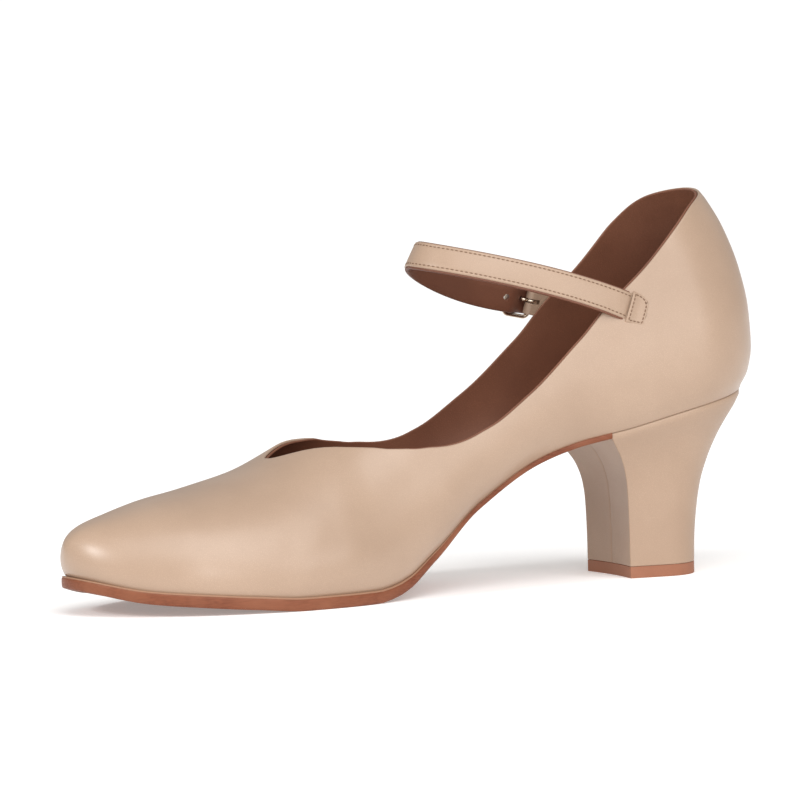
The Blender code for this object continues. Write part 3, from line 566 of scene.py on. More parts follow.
@functools.cache
def topline_angle(side, at):
    """Angle at which the upper ends: the topline at the sides, the throat in front of it."""
    height = BACK_HEIGHT * read(TOPLINE, TOPLINE_COLUMNS, "inner" if side == INNER else "outer", at)
    by_height = math.asin(min(height / crown_height(at), 1.0))
    corner = throat_at() - THROAT_LENGTH / SHOE_LENGTH
    reach = THROAT_BLEND / SHOE_LENGTH
    share = smooth_step(at, corner - reach, corner + reach)
    return by_height * (1 - share) + throat_angle(side, at) * share if share else by_height


print("shift in mm:", [round(value / MM, 2) for value in SHIFT])

# %% [markdown]
# ## Places along the shoe
#
# A grid over the last needs its columns close together where the shoe turns: round the heel, at
# the point of the throat and round the toe. Elsewhere they can lie further apart.

# %% Stations for the fine surfaces
HEEL_STEPS = 26
MIDDLE_STEPS = 60
THROAT_STEPS = 16
VAMP_STEPS = 26
TOE_STEPS = 30
THROAT_ZONE = 0.155
HEEL_SEAT_LENGTH = 0.0558
BREAST_AT = HEEL_SEAT_LENGTH / SHOE_LENGTH


def stations():
    """Places along the last, from heel to toe."""
    heel_end = HEEL_ROUND / SHOE_LENGTH
    toe_start = 1 - TOE_ROUND / SHOE_LENGTH
    corner = throat_at() - THROAT_ZONE
    places = [heel_end * (1 - math.cos(math.pi / 2 * k / HEEL_STEPS)) for k in range(HEEL_STEPS)]
    places += [heel_end + (corner - heel_end) * k / MIDDLE_STEPS for k in range(MIDDLE_STEPS)]
    places += [throat_at() - (throat_at() - corner) * (1 - k / THROAT_STEPS) ** 2
               for k in range(THROAT_STEPS)]
    places += [throat_at() + (toe_start - throat_at()) * k / VAMP_STEPS for k in range(VAMP_STEPS)]
    places += [toe_start + (1 - toe_start) * math.sin(math.pi / 2 * k / TOE_STEPS)
               for k in range(TOE_STEPS)]
    return places + [1.0]


STATIONS = stations()
ROUND_THE_SHOE = [(INNER, at) for at in STATIONS] + [(OUTER, at) for at in STATIONS[::-1][1:]]
print("stations a side:", len(STATIONS))

# %% [markdown]
# ## Creases
#
# Even a new shoe isn't a perfect last. The leather swells softly at the ball, sinks a little
# behind it and where the vamp bends, and pulls in over the edge of the counter. These could be
# painted as bump, but then the outline and the long highlights would stay too clean. Each is a
# soft trough or ridge in the surface itself, placed in the shoe's sizes.

# %% Troughs and ridges of the upper
# side, from_toe and height place the middle (mm), long and wide are half sizes (mm), turn is the
# rise of the long way in degrees, and out is how far it stands out or in (mm).
CREASE_COLUMNS = ("side", "from_toe", "height", "long", "wide", "turn", "out")
CREASES = (
    (INNER, 84, 10, 17, 9, 10, 0.55),
    (INNER, 108, 12, 15, 8, 35, -0.45),
    (INNER, 62, 13, 14, 3.5, 62, -0.16),
    (INNER, 72, 15, 15, 3.2, 66, 0.14),
    (INNER, 96, 17, 11, 3.0, 58, -0.14),
    (INNER, 196, 30, 24, 8, 80, 0.25),
    (INNER, 176, 18, 22, 6, 60, -0.22),
    (OUTER, 78, 10, 17, 9, 8, 0.50),
    (OUTER, 104, 12, 15, 8, 32, -0.35),
    (OUTER, 60, 13, 14, 3.5, 60, -0.15),
    (OUTER, 90, 16, 11, 3.0, 58, -0.14),
    (OUTER, 178, 18, 22, 6, 60, -0.20),
)
CREASES_START = 0.5
CREASES_FULL = 5.0


def relief(side, point):
    """How far the creases move the leather out at a point of the upper, in metres."""
    from_toe = (point.x - along(1.0)) / MM
    at = 1 - from_toe * MM / SHOE_LENGTH
    height = (point.z - feather_height(min(max(at, 0.0), 1.0))) / MM
    total = 0.0
    for row in CREASES:
        crease = dict(zip(CREASE_COLUMNS, row))
        if crease["side"] != side:
            continue
        turn = math.radians(crease["turn"])
        run, rise = from_toe - crease["from_toe"], height - crease["height"]
        lengthways = (run * math.cos(turn) + rise * math.sin(turn)) / crease["long"]
        sideways = (rise * math.cos(turn) - run * math.sin(turn)) / crease["wide"]
        total += crease["out"] * math.exp(-lengthways ** 2 - sideways ** 2)
    return total * smooth_step(height, CREASES_START, CREASES_FULL) * MM


def skin(side, at, angle, depth=0.0):
    """Point under the outside of the creased upper at this depth."""
    point = upper_point(side, at, angle)
    return point + outward_at(side, at, angle) * (relief(side, point) - depth)


print("creases:", len(CREASES))

# %% [markdown]
# ## Making a piece
#
# Most pieces of a shoe are sheets or tubes, so most of them start as Blender's grid, and each of
# its vertices then moves to its place. The grid brings the faces, so no list of faces is written.

# %% Helpers that turn a grid into a piece
WELD_DISTANCE = 0.002 * MM
RIM_ANGLE = 60


def sheet(rows):
    """A bmesh grid, each of whose vertices goes to its place in rows."""
    down, across = len(rows) - 1, len(rows[0]) - 1
    maker = bmesh.new()
    bmesh.ops.create_grid(maker, x_segments=across, y_segments=down, size=1.0)
    for vertex in maker.verts:
        column = round((vertex.co.x + 1) / 2 * across)
        row = round((vertex.co.y + 1) / 2 * down)
        vertex.co = rows[row][column]
    return maker


def weld(maker):
    """Merges points that lie on each other, as where a ring meets its own start."""
    bmesh.ops.remove_doubles(maker, verts=maker.verts, dist=WELD_DISTANCE)
    bmesh.ops.dissolve_degenerate(maker, edges=maker.edges, dist=WELD_DISTANCE)


def tube(rings):
    """A closed solid through rings of points."""
    maker = sheet([ring + ring[:1] for ring in rings])
    weld(maker)
    open_edges = [edge for edge in maker.edges if edge.is_boundary]
    if open_edges:
        bmesh.ops.holes_fill(maker, edges=open_edges, sides=0)
    return maker


def add_piece(name, maker, material, replaces, sharp_degrees):
    """Makes a piece of the shoe from a bmesh: faces out, round forms smooth, and riding on it."""
    bmesh.ops.recalc_face_normals(maker, faces=maker.faces)
    mesh = bpy.data.meshes.new(name)
    maker.to_mesh(mesh)
    maker.free()
    mesh.shade_smooth()
    mesh.set_sharp_from_angle(angle=math.radians(sharp_degrees))
    piece = bpy.data.objects.new(name, mesh)
    bpy.context.scene.collection.objects.link(piece)
    mesh.materials.append(material)
    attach(piece, "root")
    if replaces:
        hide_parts(*replaces)
    print(f"{name}: {len(mesh.polygons)} faces")
    return piece


def add_bevel(piece, width, segments, degrees):
    """Rounds the edges of a piece that turn by more than this many degrees."""
    bevel = piece.modifiers.new("bevel", "BEVEL")
    bevel.width = width
    bevel.segments = segments
    bevel.limit_method = "ANGLE"
    bevel.angle_limit = math.radians(degrees)
    bevel.use_clamp_overlap = False


def add_wall(piece, thickness, rim, segments):
    """Gives a sheet its thickness, inwards, and rounds its rim."""
    wall = piece.modifiers.new("wall", "SOLIDIFY")
    wall.thickness = thickness
    wall.offset = -1
    wall.use_quality_normals = True
    add_bevel(piece, rim, segments, RIM_ANGLE)


trial = sheet([[Vector((x, y, 0)) for x in range(3)] for y in range(2)])
print("a grid of 2 rows of 3 points has", len(trial.faces), "faces")
trial.free()

# %% [markdown]
# ## The upper
#
# On the real shoe the outer leather is about a millimetre thick. Its edge along the topline is
# skived, folded and pressed, so it looks like one thin rounded line. The upper is one sheet round
# the last, open at the throat and underneath, and a Solidify modifier gives it the thickness. A
# Bevel then rounds the rim as the fold does.

# %% The outer leather
OUTER_LEATHER = 0.95 * MM
LASTED_UNDER = 0.75 * MM
FOLD_ROUND = 0.40 * MM
RISE_ROWS = 46

# The first row never starts higher up a section than at this sine
START_SINE = 0.9


def sheet_round_the_shoe(depth, low_height):
    """Rows round the shoe at a depth, from a height over the feather line to the topline."""
    rows = []
    for j in range(RISE_ROWS + 1):
        row = []
        for side, at in ROUND_THE_SHOE:
            low = math.asin(min(low_height / crown_height(at), START_SINE))
            high = topline_angle(side, at)
            row.append(skin(side, at, low + (high - low) * j / RISE_ROWS, depth))
        rows.append(row)
    return rows


def make_upper():
    maker = sheet(sheet_round_the_shoe(0.0, -LASTED_UNDER))
    weld(maker)
    piece = add_piece("upper_leather_shell", maker, UPPER_LEATHER, ["upper"], 50)
    add_wall(piece, OUTER_LEATHER, FOLD_ROUND, 3)


make_upper()

# %% [markdown]
# ## The lining
#
# Inside, a brown leather lining covers the wall from the insole to the topline. It is trimmed just
# above the folded edge, and that thin brown line outlines the topline. The line is partly the
# lining's own edge and partly painted shade: the brown is darkened to stand for the shade in the gap
# between foot and topline.

# %% The lining
LINING_THICKNESS = 0.70 * MM
LINING_CLEAR = 0.05 * MM
LINING_START = 1.5 * MM
# The lining stands proud of the fold as a dark line: partly its own edge, partly painted shade
LINING_PROUD = 0.45 * MM
LINING_ROUND = 0.22 * MM


def raised_edge(depth, above):
    """The topline at a depth, raised along the wall, but level with it round the vamp."""
    top = [skin(side, at, topline_angle(side, at), depth) for side, at in ROUND_THE_SHOE]
    row = []
    for k, (side, at) in enumerate(ROUND_THE_SHOE):
        way = top[(k + 1) % (len(top) - 1)] - top[(k - 1) % (len(top) - 1)]
        if at >= throat_at() or way.length == 0:
            row.append(top[k])
        else:
            out = outward_at(side, at, topline_angle(side, at))
            row.append(top[k] + way.cross(out).normalized() * above)
    return row


def make_lining():
    depth = OUTER_LEATHER + LINING_CLEAR
    maker = sheet(sheet_round_the_shoe(depth, LINING_START) + [raised_edge(depth, LINING_PROUD)])
    weld(maker)
    piece = add_piece("lining", maker, LINING_LEATHER, [], 50)
    add_wall(piece, LINING_THICKNESS, LINING_ROUND, 2)


make_lining()

# %% [markdown]
# ## The sock and insole
#
# Inside lies an insole board under a thin leather sock. The board is hidden, so one closed slab
# stands for both, with its upper edge against the lining all round and its face a little
# dished, as a sock is once it has been glued down.

# %% The insole with its sock
INSOLE_THICKNESS = 2.8 * MM
INSOLE_EDGE = 0.5 * MM
INSOLE_CLEAR = 0.5 * GAP
RIM_INSET = 0.4 * INSOLE_EDGE
SOCK_DISH = 0.45 * MM
DISH_POWER = 0.6
SOCK_ACROSS = 14
EDGE_STEP = 0.0004
WALL_ROUNDS = 24
SEARCH_SHARE = 0.6
FULL_SINE = 0.98


def outline(places, outset, side):
    """The feather line of one side seen from above, moved outwards by outset(at)."""
    points = []
    for at in places:
        low, high = max(at - EDGE_STEP, 0.0), min(at + EDGE_STEP, 1.0)
        run = along(high) - along(low)
        turn = (middle(high) + side * half_width(high)) - (middle(low) + side * half_width(low))
        if at <= 0.0:
            outward = Vector((1, 0))
        elif at >= 1.0:
            outward = Vector((-1, 0))
        else:
            outward = Vector((turn, -run)).normalized() * side
        edge = Vector((along(at), middle(at) + side * half_width(at)))
        points.append(edge + outward * outset(at))
    return points


def inside_wall(side, at, height, clear):
    """Point a little clear of the inside of the wall, at a height over the feather line."""
    level = feather_height(at, side * end_round(at)) + height
    angle = 0.0
    for _ in range(WALL_ROUNDS):
        point = upper_point(side, at, angle) - outward_at(side, at, angle) * (UPPER_WALL + clear)
        rise = crown_height(at) * math.sin(angle) + SEARCH_SHARE * (level - point.z)
        angle = math.asin(min(max(rise / crown_height(at), 0.0), FULL_SINE))
    return point


def make_insole():
    places = STATIONS[::2] + STATIONS[-1:]
    beds = [outline(places, lambda at: -(UPPER_WALL + 2 * GAP), side) for side in SIDES]
    rings = []
    for k, at in enumerate(places):
        under = [Vector((*bed[k], feather_height(at, side))) for bed, side in zip(beds, SIDES)]
        edge = [inside_wall(side, at, INSOLE_THICKNESS - INSOLE_EDGE, INSOLE_CLEAR) for side in SIDES]
        rim = [inside_wall(side, at, INSOLE_THICKNESS, INSOLE_CLEAR + RIM_INSET) for side in SIDES]
        face = []
        for j in range(SOCK_ACROSS + 1):
            share = j / SOCK_ACROSS
            point = rim[1].lerp(rim[0], share)
            point.z -= SOCK_DISH * end_round(at) * math.sin(math.pi * share) ** DISH_POWER
            face.append(point)
        rings.append([under[0], under[1], edge[1], *face, edge[0]])
    add_piece("insole_with_sock", tube(rings), SOCK_LEATHER, ["insole"], 40)


make_insole()

# %% [markdown]
# ## The outsole
#
# The sole is cut from firm brown leather. Its edge is trimmed, stained and burnished. A fine light
# line along the top, where it meets the upper, is a painted highlight: the top of the edge as it
# catches the light. A table gives the profile of the edge once, and the same profile runs round the
# whole sole. Each point also carries a mark, 0 on the stained edge and 1 on the painted highlight,
# which the material reads.

# %% The outsole's edge and its leather
# Millimetres in from the sole's outline, share of its thickness, and mark, 1 for the painted highlight
EDGE_PROFILE = (
    (2.20, 0.00, 0.0), (0.80, 0.00, 0.0), (0.42, 0.03, 0.0), (0.14, 0.11, 0.0), (0.02, 0.24, 0.0),
    (0.00, 0.42, 0.0), (0.00, 0.62, 0.0), (0.03, 0.78, 0.0), (0.12, 0.85, 0.0), (0.26, 0.875, 0.0),
    (0.27, 0.89, 1.0), (0.20, 0.91, 1.0), (0.20, 0.96, 1.0), (0.34, 0.99, 1.0), (0.75, 1.00, 1.0),
)
SOLE_UNDER = 12
SOLE_OVER = 2
BREAST_BOW = 0.0012
LEAST_SPACING = 0.004
MICRON = 1e6
FIBRE_WIDTH = 0.45 * MM
FIBRE_STRETCH = (0.12, 0.4, 1.0)
WORN_SIZE = 18 * MM
STAIN = (0.205, 0.059, 0.025)
STAIN_STREAK = (0.145, 0.039, 0.016)
STAIN_WORN = (0.245, 0.086, 0.041)
# Colour of the painted highlight along the top of the sole's edge
PAINTED_EDGE_HIGHLIGHT = (0.330, 0.180, 0.110)
SOLE_GLOSS = (0.42, 0.58)
SOLE_SPECULAR = 0.3
FIBRE_DEPTH = 0.03 * MM


def marked_sheet(rows, marks):
    """A grid as from sheet(), whose vertices also carry the marks, the same in every row."""
    maker = sheet(rows)
    layer = maker.verts.layers.float.new("mark")
    places = {}
    for row in rows:
        for point, mark in zip(row, marks):
            places[tuple(round(value * MICRON) for value in point)] = mark
    for vertex in maker.verts:
        vertex[layer] = places.get(tuple(round(value * MICRON) for value in vertex.co), 0.0)
    return maker


def bow_to_breast(ring):
    """Curves the rear end of the sole to follow the hollow front face of the heel."""
    low = min(point.y for point in ring)
    high = max(point.y for point in ring)
    for point in ring:
        share = (point.y - low) / (high - low)
        point.x += BREAST_BOW * 4 * share * (1 - share)


def make_outsole():
    places = [BREAST_AT] + [at for at in STATIONS if at > BREAST_AT + LEAST_SPACING]
    edges = []
    for inside, _, _ in EDGE_PROFILE:
        edges.append([outline(places, lambda at: SOLE_MARGIN * last("margin", at) - inside * MM, side)
                      for side in SIDES])
    rings = []
    for k, at in enumerate(places):
        sides = []
        for which, side in enumerate(SIDES):
            low = sole_bottom(at, side)
            sides.append([Vector((*edge[which][k], low + sole_thickness(at) * up))
                          for edge, (_, up, _) in zip(edges, EDGE_PROFILE)])
        inner, outer = sides
        under = [inner[0].lerp(outer[0], (j + 1) / (SOLE_UNDER + 1)) for j in range(SOLE_UNDER)]
        over = [outer[-1].lerp(inner[-1], (j + 1) / (SOLE_OVER + 1)) for j in range(SOLE_OVER)]
        rings.append(under + outer + over + inner[::-1])
    bow_to_breast(rings[0])
    numbers = [mark for _, _, mark in EDGE_PROFILE]
    marks = [0.0] * SOLE_UNDER + numbers + [1.0] * SOLE_OVER + numbers[::-1]
    maker = marked_sheet([ring + ring[:1] for ring in rings], marks + marks[:1])
    weld(maker)
    bmesh.ops.holes_fill(maker, edges=[edge for edge in maker.edges if edge.is_boundary], sides=0)
    add_piece("leather_outsole", maker, SOLE_LEATHER, ["outsole"], 50)


def sole_leather():
    """Stained leather with fibres along the edge, and a painted highlight where the mark is 1."""
    material, nodes, links = new_material("brown_sole_leather")
    shader = nodes["Principled BSDF"]
    place = nodes.new("ShaderNodeTexCoord")
    mark = nodes.new("ShaderNodeAttribute")
    mark.attribute_name = "mark"
    stretch = nodes.new("ShaderNodeMapping")
    stretch.inputs["Scale"].default_value = FIBRE_STRETCH
    links.new(place.outputs["Object"], stretch.inputs["Vector"])
    fibres = nodes.new("ShaderNodeTexNoise")
    fibres.inputs["Scale"].default_value = 1 / FIBRE_WIDTH
    fibres.inputs["Detail"].default_value = 4.0
    links.new(stretch.outputs["Vector"], fibres.inputs["Vector"])
    streak = add_patches(nodes, links, fibres)
    worn = add_patches(nodes, links, add_noise(nodes, links, place, WORN_SIZE, 4.0))
    stain_and_highlight = add_mix(nodes, links, streak, STAIN, STAIN_STREAK)
    stain_and_highlight = add_mix(nodes, links, worn, stain_and_highlight, STAIN_WORN)
    # Painted highlight: the light line along the top of the edge, where the mark is 1
    stain_and_highlight = add_mix(nodes, links, mark.outputs["Fac"], stain_and_highlight, PAINTED_EDGE_HIGHLIGHT)
    links.new(stain_and_highlight, shader.inputs["Base Color"])
    links.new(add_range(nodes, links, streak, 0.0, 1.0, *SOLE_GLOSS), shader.inputs["Roughness"])
    shader.inputs["Specular IOR Level"].default_value = SOLE_SPECULAR
    add_bump(nodes, links, fibres.outputs["Fac"], FIBRE_DEPTH)
    return material


SOLE_LEATHER = sole_leather()
make_outsole()

# %% [markdown]
# ## The heel
#
# A character heel is a moulded block with thin leather drawn round it and closed with a seam down
# the breast, which is the flat front face. The block flares from a small straight base up to the
# seat under the counter. Its outline at any height is the seat's outline, drawn in by a table.

# %% The covered heel
LIFT_LENGTH = 0.0287
LIFT_WIDTH = 0.036
LIFT_SET = 0.0097
LIFT_THICKNESS = 0.0036
SEAM_DEPTH = 0.22 * MM
HEEL_EDGE = 0.30 * MM
EDGE_ANGLE = 55
HEEL_COLUMNS = ("up", "breast", "back", "half")
HEEL_PROFILE = (
    (0.00, 0.00, 0.00, 0.00),
    (0.15, 0.00, 0.02, 0.00),
    (0.32, 0.01, 0.08, 0.01),
    (0.48, 0.03, 0.18, 0.03),
    (0.62, 0.09, 0.34, 0.10),
    (0.75, 0.24, 0.54, 0.26),
    (0.86, 0.50, 0.75, 0.52),
    (0.94, 0.78, 0.91, 0.80),
    (1.00, 1.00, 1.00, 1.00),
)
HEEL_ROWS = 40

# Drop under the feather line and inset of the rings that end the cover under the counter
SEAT_LIP = ((1.15 * MM, 0.0), (0.95 * MM, 0.08 * MM), (0.72 * MM, 0.50 * MM), (GAP, 0.60 * MM))

# Shares of the way across the breast, close together at the seam
BREAST_SHARES = (0.06, 0.15, 0.25, 0.35, 0.44, 0.475, 0.49, 0.50, 0.51, 0.525, 0.56, 0.65, 0.75, 0.85, 0.94)
SEAM_SHARE = 0.50
SEAM_HALF = 0.009


def seat_ring(inset):
    """The top edge of the heel: round the back from the inner breast corner to the outer one."""
    places = [at for at in STATIONS if at < BREAST_AT - LEAST_SPACING] + [BREAST_AT]
    inner = outline(places, lambda at: -inset, INNER)
    outer = outline(places, lambda at: -inset, OUTER)
    ring = [(inner[k], at, -1) for k, at in reversed(list(enumerate(places)))]
    return ring + [(outer[k], at, 1) for k, at in enumerate(places)][1:]


def heel_ring(up, level_of, inset=GAP, seam_depth=SEAM_DEPTH):
    """One ring of the heel, at a share of the way from its base to the seat."""
    seat_front, seat_back = along(BREAST_AT), along(0.0)
    base_front = seat_front + LIFT_SET
    base_back = base_front + LIFT_LENGTH
    front = base_front + (seat_front - base_front) * read(HEEL_PROFILE, HEEL_COLUMNS, "breast", up)
    back = base_back + (seat_back - base_back) * read(HEEL_PROFILE, HEEL_COLUMNS, "back", up)
    ring = seat_ring(inset)
    seat_half = max(abs(point.y - middle(at)) for point, at, _ in ring)
    half = LIFT_WIDTH / 2 + (seat_half - LIFT_WIDTH / 2) * read(HEEL_PROFILE, HEEL_COLUMNS, "half", up)
    points = []
    for point, at, across in ring:
        share = (point.x - seat_front) / (seat_back - seat_front)
        x = front + (back - front) * share
        y = middle(at) + (point.y - middle(at)) * half / seat_half
        points.append(Vector((x, y, level_of(at, across * end_round(at), up))))
    for share in BREAST_SHARES:
        point = points[len(ring) - 1].lerp(points[0], share)
        seam = math.exp(-((share - SEAM_SHARE) / SEAM_HALF) ** 2)
        point.x += BREAST_BOW * 4 * share * (1 - share) + seam_depth * seam
        points.append(point)
    return points


def make_heel():
    base = LIFT_THICKNESS + GAP

    def level(at, across, up):
        return base + (sole_bottom(at, across) - base) * up

    rings = [heel_ring(j / HEEL_ROWS, level) for j in range(HEEL_ROWS + 1)]
    for drop, inset in SEAT_LIP:
        rings.append(heel_ring(1.0, lambda at, across, up: feather_height(at, across) - drop, GAP + inset))
    piece = add_piece("covered_heel", tube(rings), HEEL_LEATHER, ["heel_block"], 55)
    add_bevel(piece, HEEL_EDGE, 3, EDGE_ANGLE)


make_heel()

# %% [markdown]
# ## The top lift
#
# The top lift is the piece of hard rubber under the heel that takes the wear. It is cut to the
# base of the heel, so it uses the same ring, and it is trimmed a hair smaller with a soft edge.

# %% The top lift
LIFT_TRIM = 0.05 * MM
LIFT_GLUED = 0.25 * MM
LIFT_EDGE = 0.16 * MM


def make_lift():
    low = heel_ring(0.0, lambda at, across, up: 0.0, GAP, 0.0)
    centre = sum(low, Vector()) / len(low)
    rings = []
    for level in (0.0, LIFT_THICKNESS / 2, LIFT_THICKNESS + LIFT_GLUED):
        ring = []
        for point in low:
            out = (point - centre).normalized()
            ring.append(point - out * LIFT_TRIM + Vector((0, 0, level)))
        rings.append(ring)
    piece = add_piece("rubber_top_lift", tube(rings), LIFT_RUBBER, ["top_lift"], 50)
    add_bevel(piece, LIFT_EDGE, 2, EDGE_ANGLE)


make_lift()

# %% [markdown]
# ## The line of the strap
#
# The strap leaves a slit in the inner side of the upper, curves over the instep and ends in a free
# tip on the outer side, where the buckle holds it. It was buckled when it was photographed, so it
# keeps that form. The two ends follow the leather of the quarters, and two Bezier arcs join them.

# %% Places on the quarters
STRAP_WIDTH = 0.0092
STRAP_THICKNESS = 0.0018
STRAP_REACH = 0.0505
STRAP_RISE = 0.0175
STRAP_LEAN = math.radians(28)
CROSSING_SET = 0.0540
ANCHOR_LENGTH = 0.0058
ANCHOR_DROP = math.radians(21)
TIP_LENGTH = 0.031
TIP_DROP = math.radians(12)
TIP_SINK = 0.0020
TIP_ROUND = 0.0050
HOLE_RADIUS = 0.0011
HOLE_SPACING = 0.0070
HOLE_COUNT = 6
BUCKLE_WIRE = 0.00070
BUCKLE_LENGTH = 0.0090
BUCKLE_CORNER = 0.0018
BUCKLE_SET = 0.0050
BUCKLE_PLAY = 0.0004
PRONG_WIRE = 0.00045
PRONG_OVERHANG = 0.0009
PRONG_SHARE = 0.42
TAB_LAYER = 0.0008
TAB_LENGTH = 0.0120
TAB_WIDTH = 0.0088
TAB_ROUND = 0.0040
SEARCH_ROUNDS = 50
BEZIER_ROUND = 0.5523
STRAP_STEP = 0.002
BLUNT = 0.12


def on_quarter(side, x, z):
    """Point and outward direction on the outside of the quarter at this X and Z."""
    at, angle = 0.5 - (x - SHIFT.x) / SHOE_LENGTH, LEAST_ANGLE
    for _ in range(SEARCH_ROUNDS):
        point = upper_point(side, at, angle)
        at = min(max(at + SEARCH_SHARE * (point.x - x) / SHOE_LENGTH, LAST_STEP), 1 - LAST_STEP)
        rise = crown_height(at) * math.sin(angle) + SEARCH_SHARE * (z - point.z)
        angle = math.asin(min(max(rise / crown_height(at), 0.0), FULL_SINE))
    return upper_point(side, at, angle), outward_at(side, at, angle)


@functools.cache
def crossing(side):
    """X and Z where the strap's middle line passes over the topline's edge."""
    at = CROSSING_SET / SHOE_LENGTH
    edge = upper_point(side, at, topline_angle(side, at))
    return edge.x, edge.z - (TIP_SINK if side == OUTER else 0.0)


@functools.cache
def quarter_line(side, s):
    """Point and outward direction at a distance s back along the strap's line on the quarter."""
    x, z = crossing(side)
    drop = ANCHOR_DROP if side == INNER else TIP_DROP
    if s >= 0:
        return on_quarter(side, x + s * math.cos(drop), z - s * math.sin(drop))
    start, outward = on_quarter(side, x, z)
    near, _ = quarter_line(side, STRAP_STEP)
    return start + (near - start).normalized() * s, outward


def loop_radius():
    """Outer radius of the tab's loop round the hinge bar of the buckle."""
    return BUCKLE_WIRE + GAP + TAB_LAYER


def bar_out():
    """Height of the hinge bar of the buckle over the quarter."""
    return GAP + loop_radius()


def strap_lift(s):
    """How far the middle of the strap's thickness stands off the outer quarter's line at s."""
    low = GAP + STRAP_THICKNESS / 2
    over_loop = bar_out() + loop_radius() + GAP + STRAP_THICKNESS / 2
    over_tab = GAP + 2 * TAB_LAYER + GAP + STRAP_THICKNESS / 2
    bar, level = -BUCKLE_SET, loop_radius() / 2
    if s <= bar:
        return low + (over_loop - low) * smooth_step(s, bar - BUCKLE_LENGTH, bar - level)
    if s <= TAB_LENGTH:
        return over_loop + (over_tab - over_loop) * smooth_step(s, bar + level, loop_radius() / 2)
    return over_tab + (low - over_tab) * smooth_step(s, TAB_LENGTH, TAB_LENGTH + STRAP_WIDTH)


def prong_place():
    """Where the prong passes through the strap, between the two bars of the buckle."""
    return -BUCKLE_SET - BUCKLE_LENGTH * PRONG_SHARE


def tip_width(left, full, rounding):
    """Half width of a band whose end is round: left is the distance to the end."""
    return full * (BLUNT + (1 - BLUNT) * round_off(left, rounding))


print("crossings in mm:", [tuple(round(v / MM, 1) for v in crossing(side)) for side in SIDES])

# %% [markdown]
# The route is a list of places, each with its way along the strap, its outward direction, its half
# width and a share of the full thickness. At the inner end the strap sinks through the slit, and
# there it is pared thin, as a real one is where it is sewn down inside.

# %% The route of the strap
ANCHOR_STEPS = 14
ARCH_STEPS = 54
TIP_STEPS = 84
SLIT_TAIL = 2.2 * MM
SLIT_RISE = 1.2 * MM
SLIT_SINK = 1.0 * MM
SINK_START = -1.0 * MM
PARE_START = 3 * MM
PARED_AWAY = 0.55
HOLES_ON_QUARTER = 1.2
TIP_CROWDING = 0.8


def anchor_lift(s):
    """Height of the strap's middle over the inner quarter, from the topline down into the slit."""
    return SLIT_RISE + (-SLIT_SINK - SLIT_RISE) * smooth_step(s, SINK_START, ANCHOR_LENGTH + SLIT_TAIL)


def strap_route():
    front_of_buckle = prong_place() - HOLE_SPACING * HOLES_ON_QUARTER
    end = ANCHOR_LENGTH + SLIT_TAIL
    route = []
    for k in range(ANCHOR_STEPS, -1, -1):
        s = end * k / ANCHOR_STEPS
        point, outward = quarter_line(INNER, s)
        pared = 1 - PARED_AWAY * smooth_step(s, PARE_START, end)
        route.append((point + outward * anchor_lift(s), outward, None, pared))
    inner, inner_out = route[-1][:2]
    inner_way = inner - route[-3][0]
    outer_base, outer_out = quarter_line(OUTER, front_of_buckle)
    outer = outer_base + outer_out * strap_lift(front_of_buckle)
    outer_way = outer_base - quarter_line(OUTER, 0.0)[0]
    half_breadth = (outer.y - inner.y) / 2
    front = Vector(((inner.x + outer.x) / 2 - STRAP_REACH, (inner.y + outer.y) / 2,
                    (inner.z + outer.z) / 2 + STRAP_RISE))
    across = Vector((0, half_breadth * BEZIER_ROUND, 0))
    handle = STRAP_REACH * BEZIER_ROUND
    arch = list(interpolate_bezier(inner, inner + inner_way.normalized() * handle,
                                   front - across, front, ARCH_STEPS + 1))[1:]
    arch += list(interpolate_bezier(front, front + across,
                                    outer + outer_way.normalized() * handle, outer, ARCH_STEPS + 1))[1:-1]
    for k, point in enumerate(arch):
        share = (k + 1) / (len(arch) + 1)
        ahead = arch[k + 1] if k + 1 < len(arch) else outer
        behind = arch[k - 1] if k else inner
        way = (ahead - behind).normalized()
        level = Vector((-way.y, way.x, 0)).normalized()
        side_lean = math.asin(inner_out.z * (1 - share) + outer_out.z * share)
        lean = side_lean + (STRAP_LEAN - side_lean) * math.sin(math.pi * share)
        route.append((point, level * math.cos(lean) + Vector((0, 0, math.sin(lean))), None, 1.0))
    for k in range(TIP_STEPS + 1):
        share = math.sin(math.pi / 2 * k / TIP_STEPS) ** TIP_CROWDING
        s = front_of_buckle + (TIP_LENGTH - front_of_buckle) * share
        point, outward = quarter_line(OUTER, s)
        route.append((point + outward * strap_lift(s), outward, s, 1.0))
    return route


def strap_places():
    """Middle, way, width direction, outward direction, half width and thickness share."""
    route = strap_route()
    places = []
    for k, (point, outward, s, share) in enumerate(route):
        way = (route[min(k + 1, len(route) - 1)][0] - route[max(k - 1, 0)][0]).normalized()
        width_way = way.cross(outward).normalized()
        half = STRAP_WIDTH / 2
        if s is not None:
            half = tip_width(TIP_LENGTH - s, half, TIP_ROUND)
        places.append((point, way, width_way, width_way.cross(way).normalized(), half, share))
    return places


STRAP_PLACES = strap_places()
STRAP_RUN = [0.0]
for before, after in zip(STRAP_PLACES, STRAP_PLACES[1:]):
    STRAP_RUN.append(STRAP_RUN[-1] + (after[0] - before[0]).length)
print("strap length in mm:", round(STRAP_RUN[-1] / MM, 1))

# %% [markdown]
# ## The strap
#
# Two strips of leather are glued back to back and sewn near both edges: the upper's own leather
# outside and a brown one behind. Each is a band with a profile of its own. The outer strip is a
# little crowned, its edges are rounded and a shallow groove lies under each row of stitches.

# %% The strap's two strips
GROOVE_AT = 3.35 * MM
CUT_ANGLE = 45

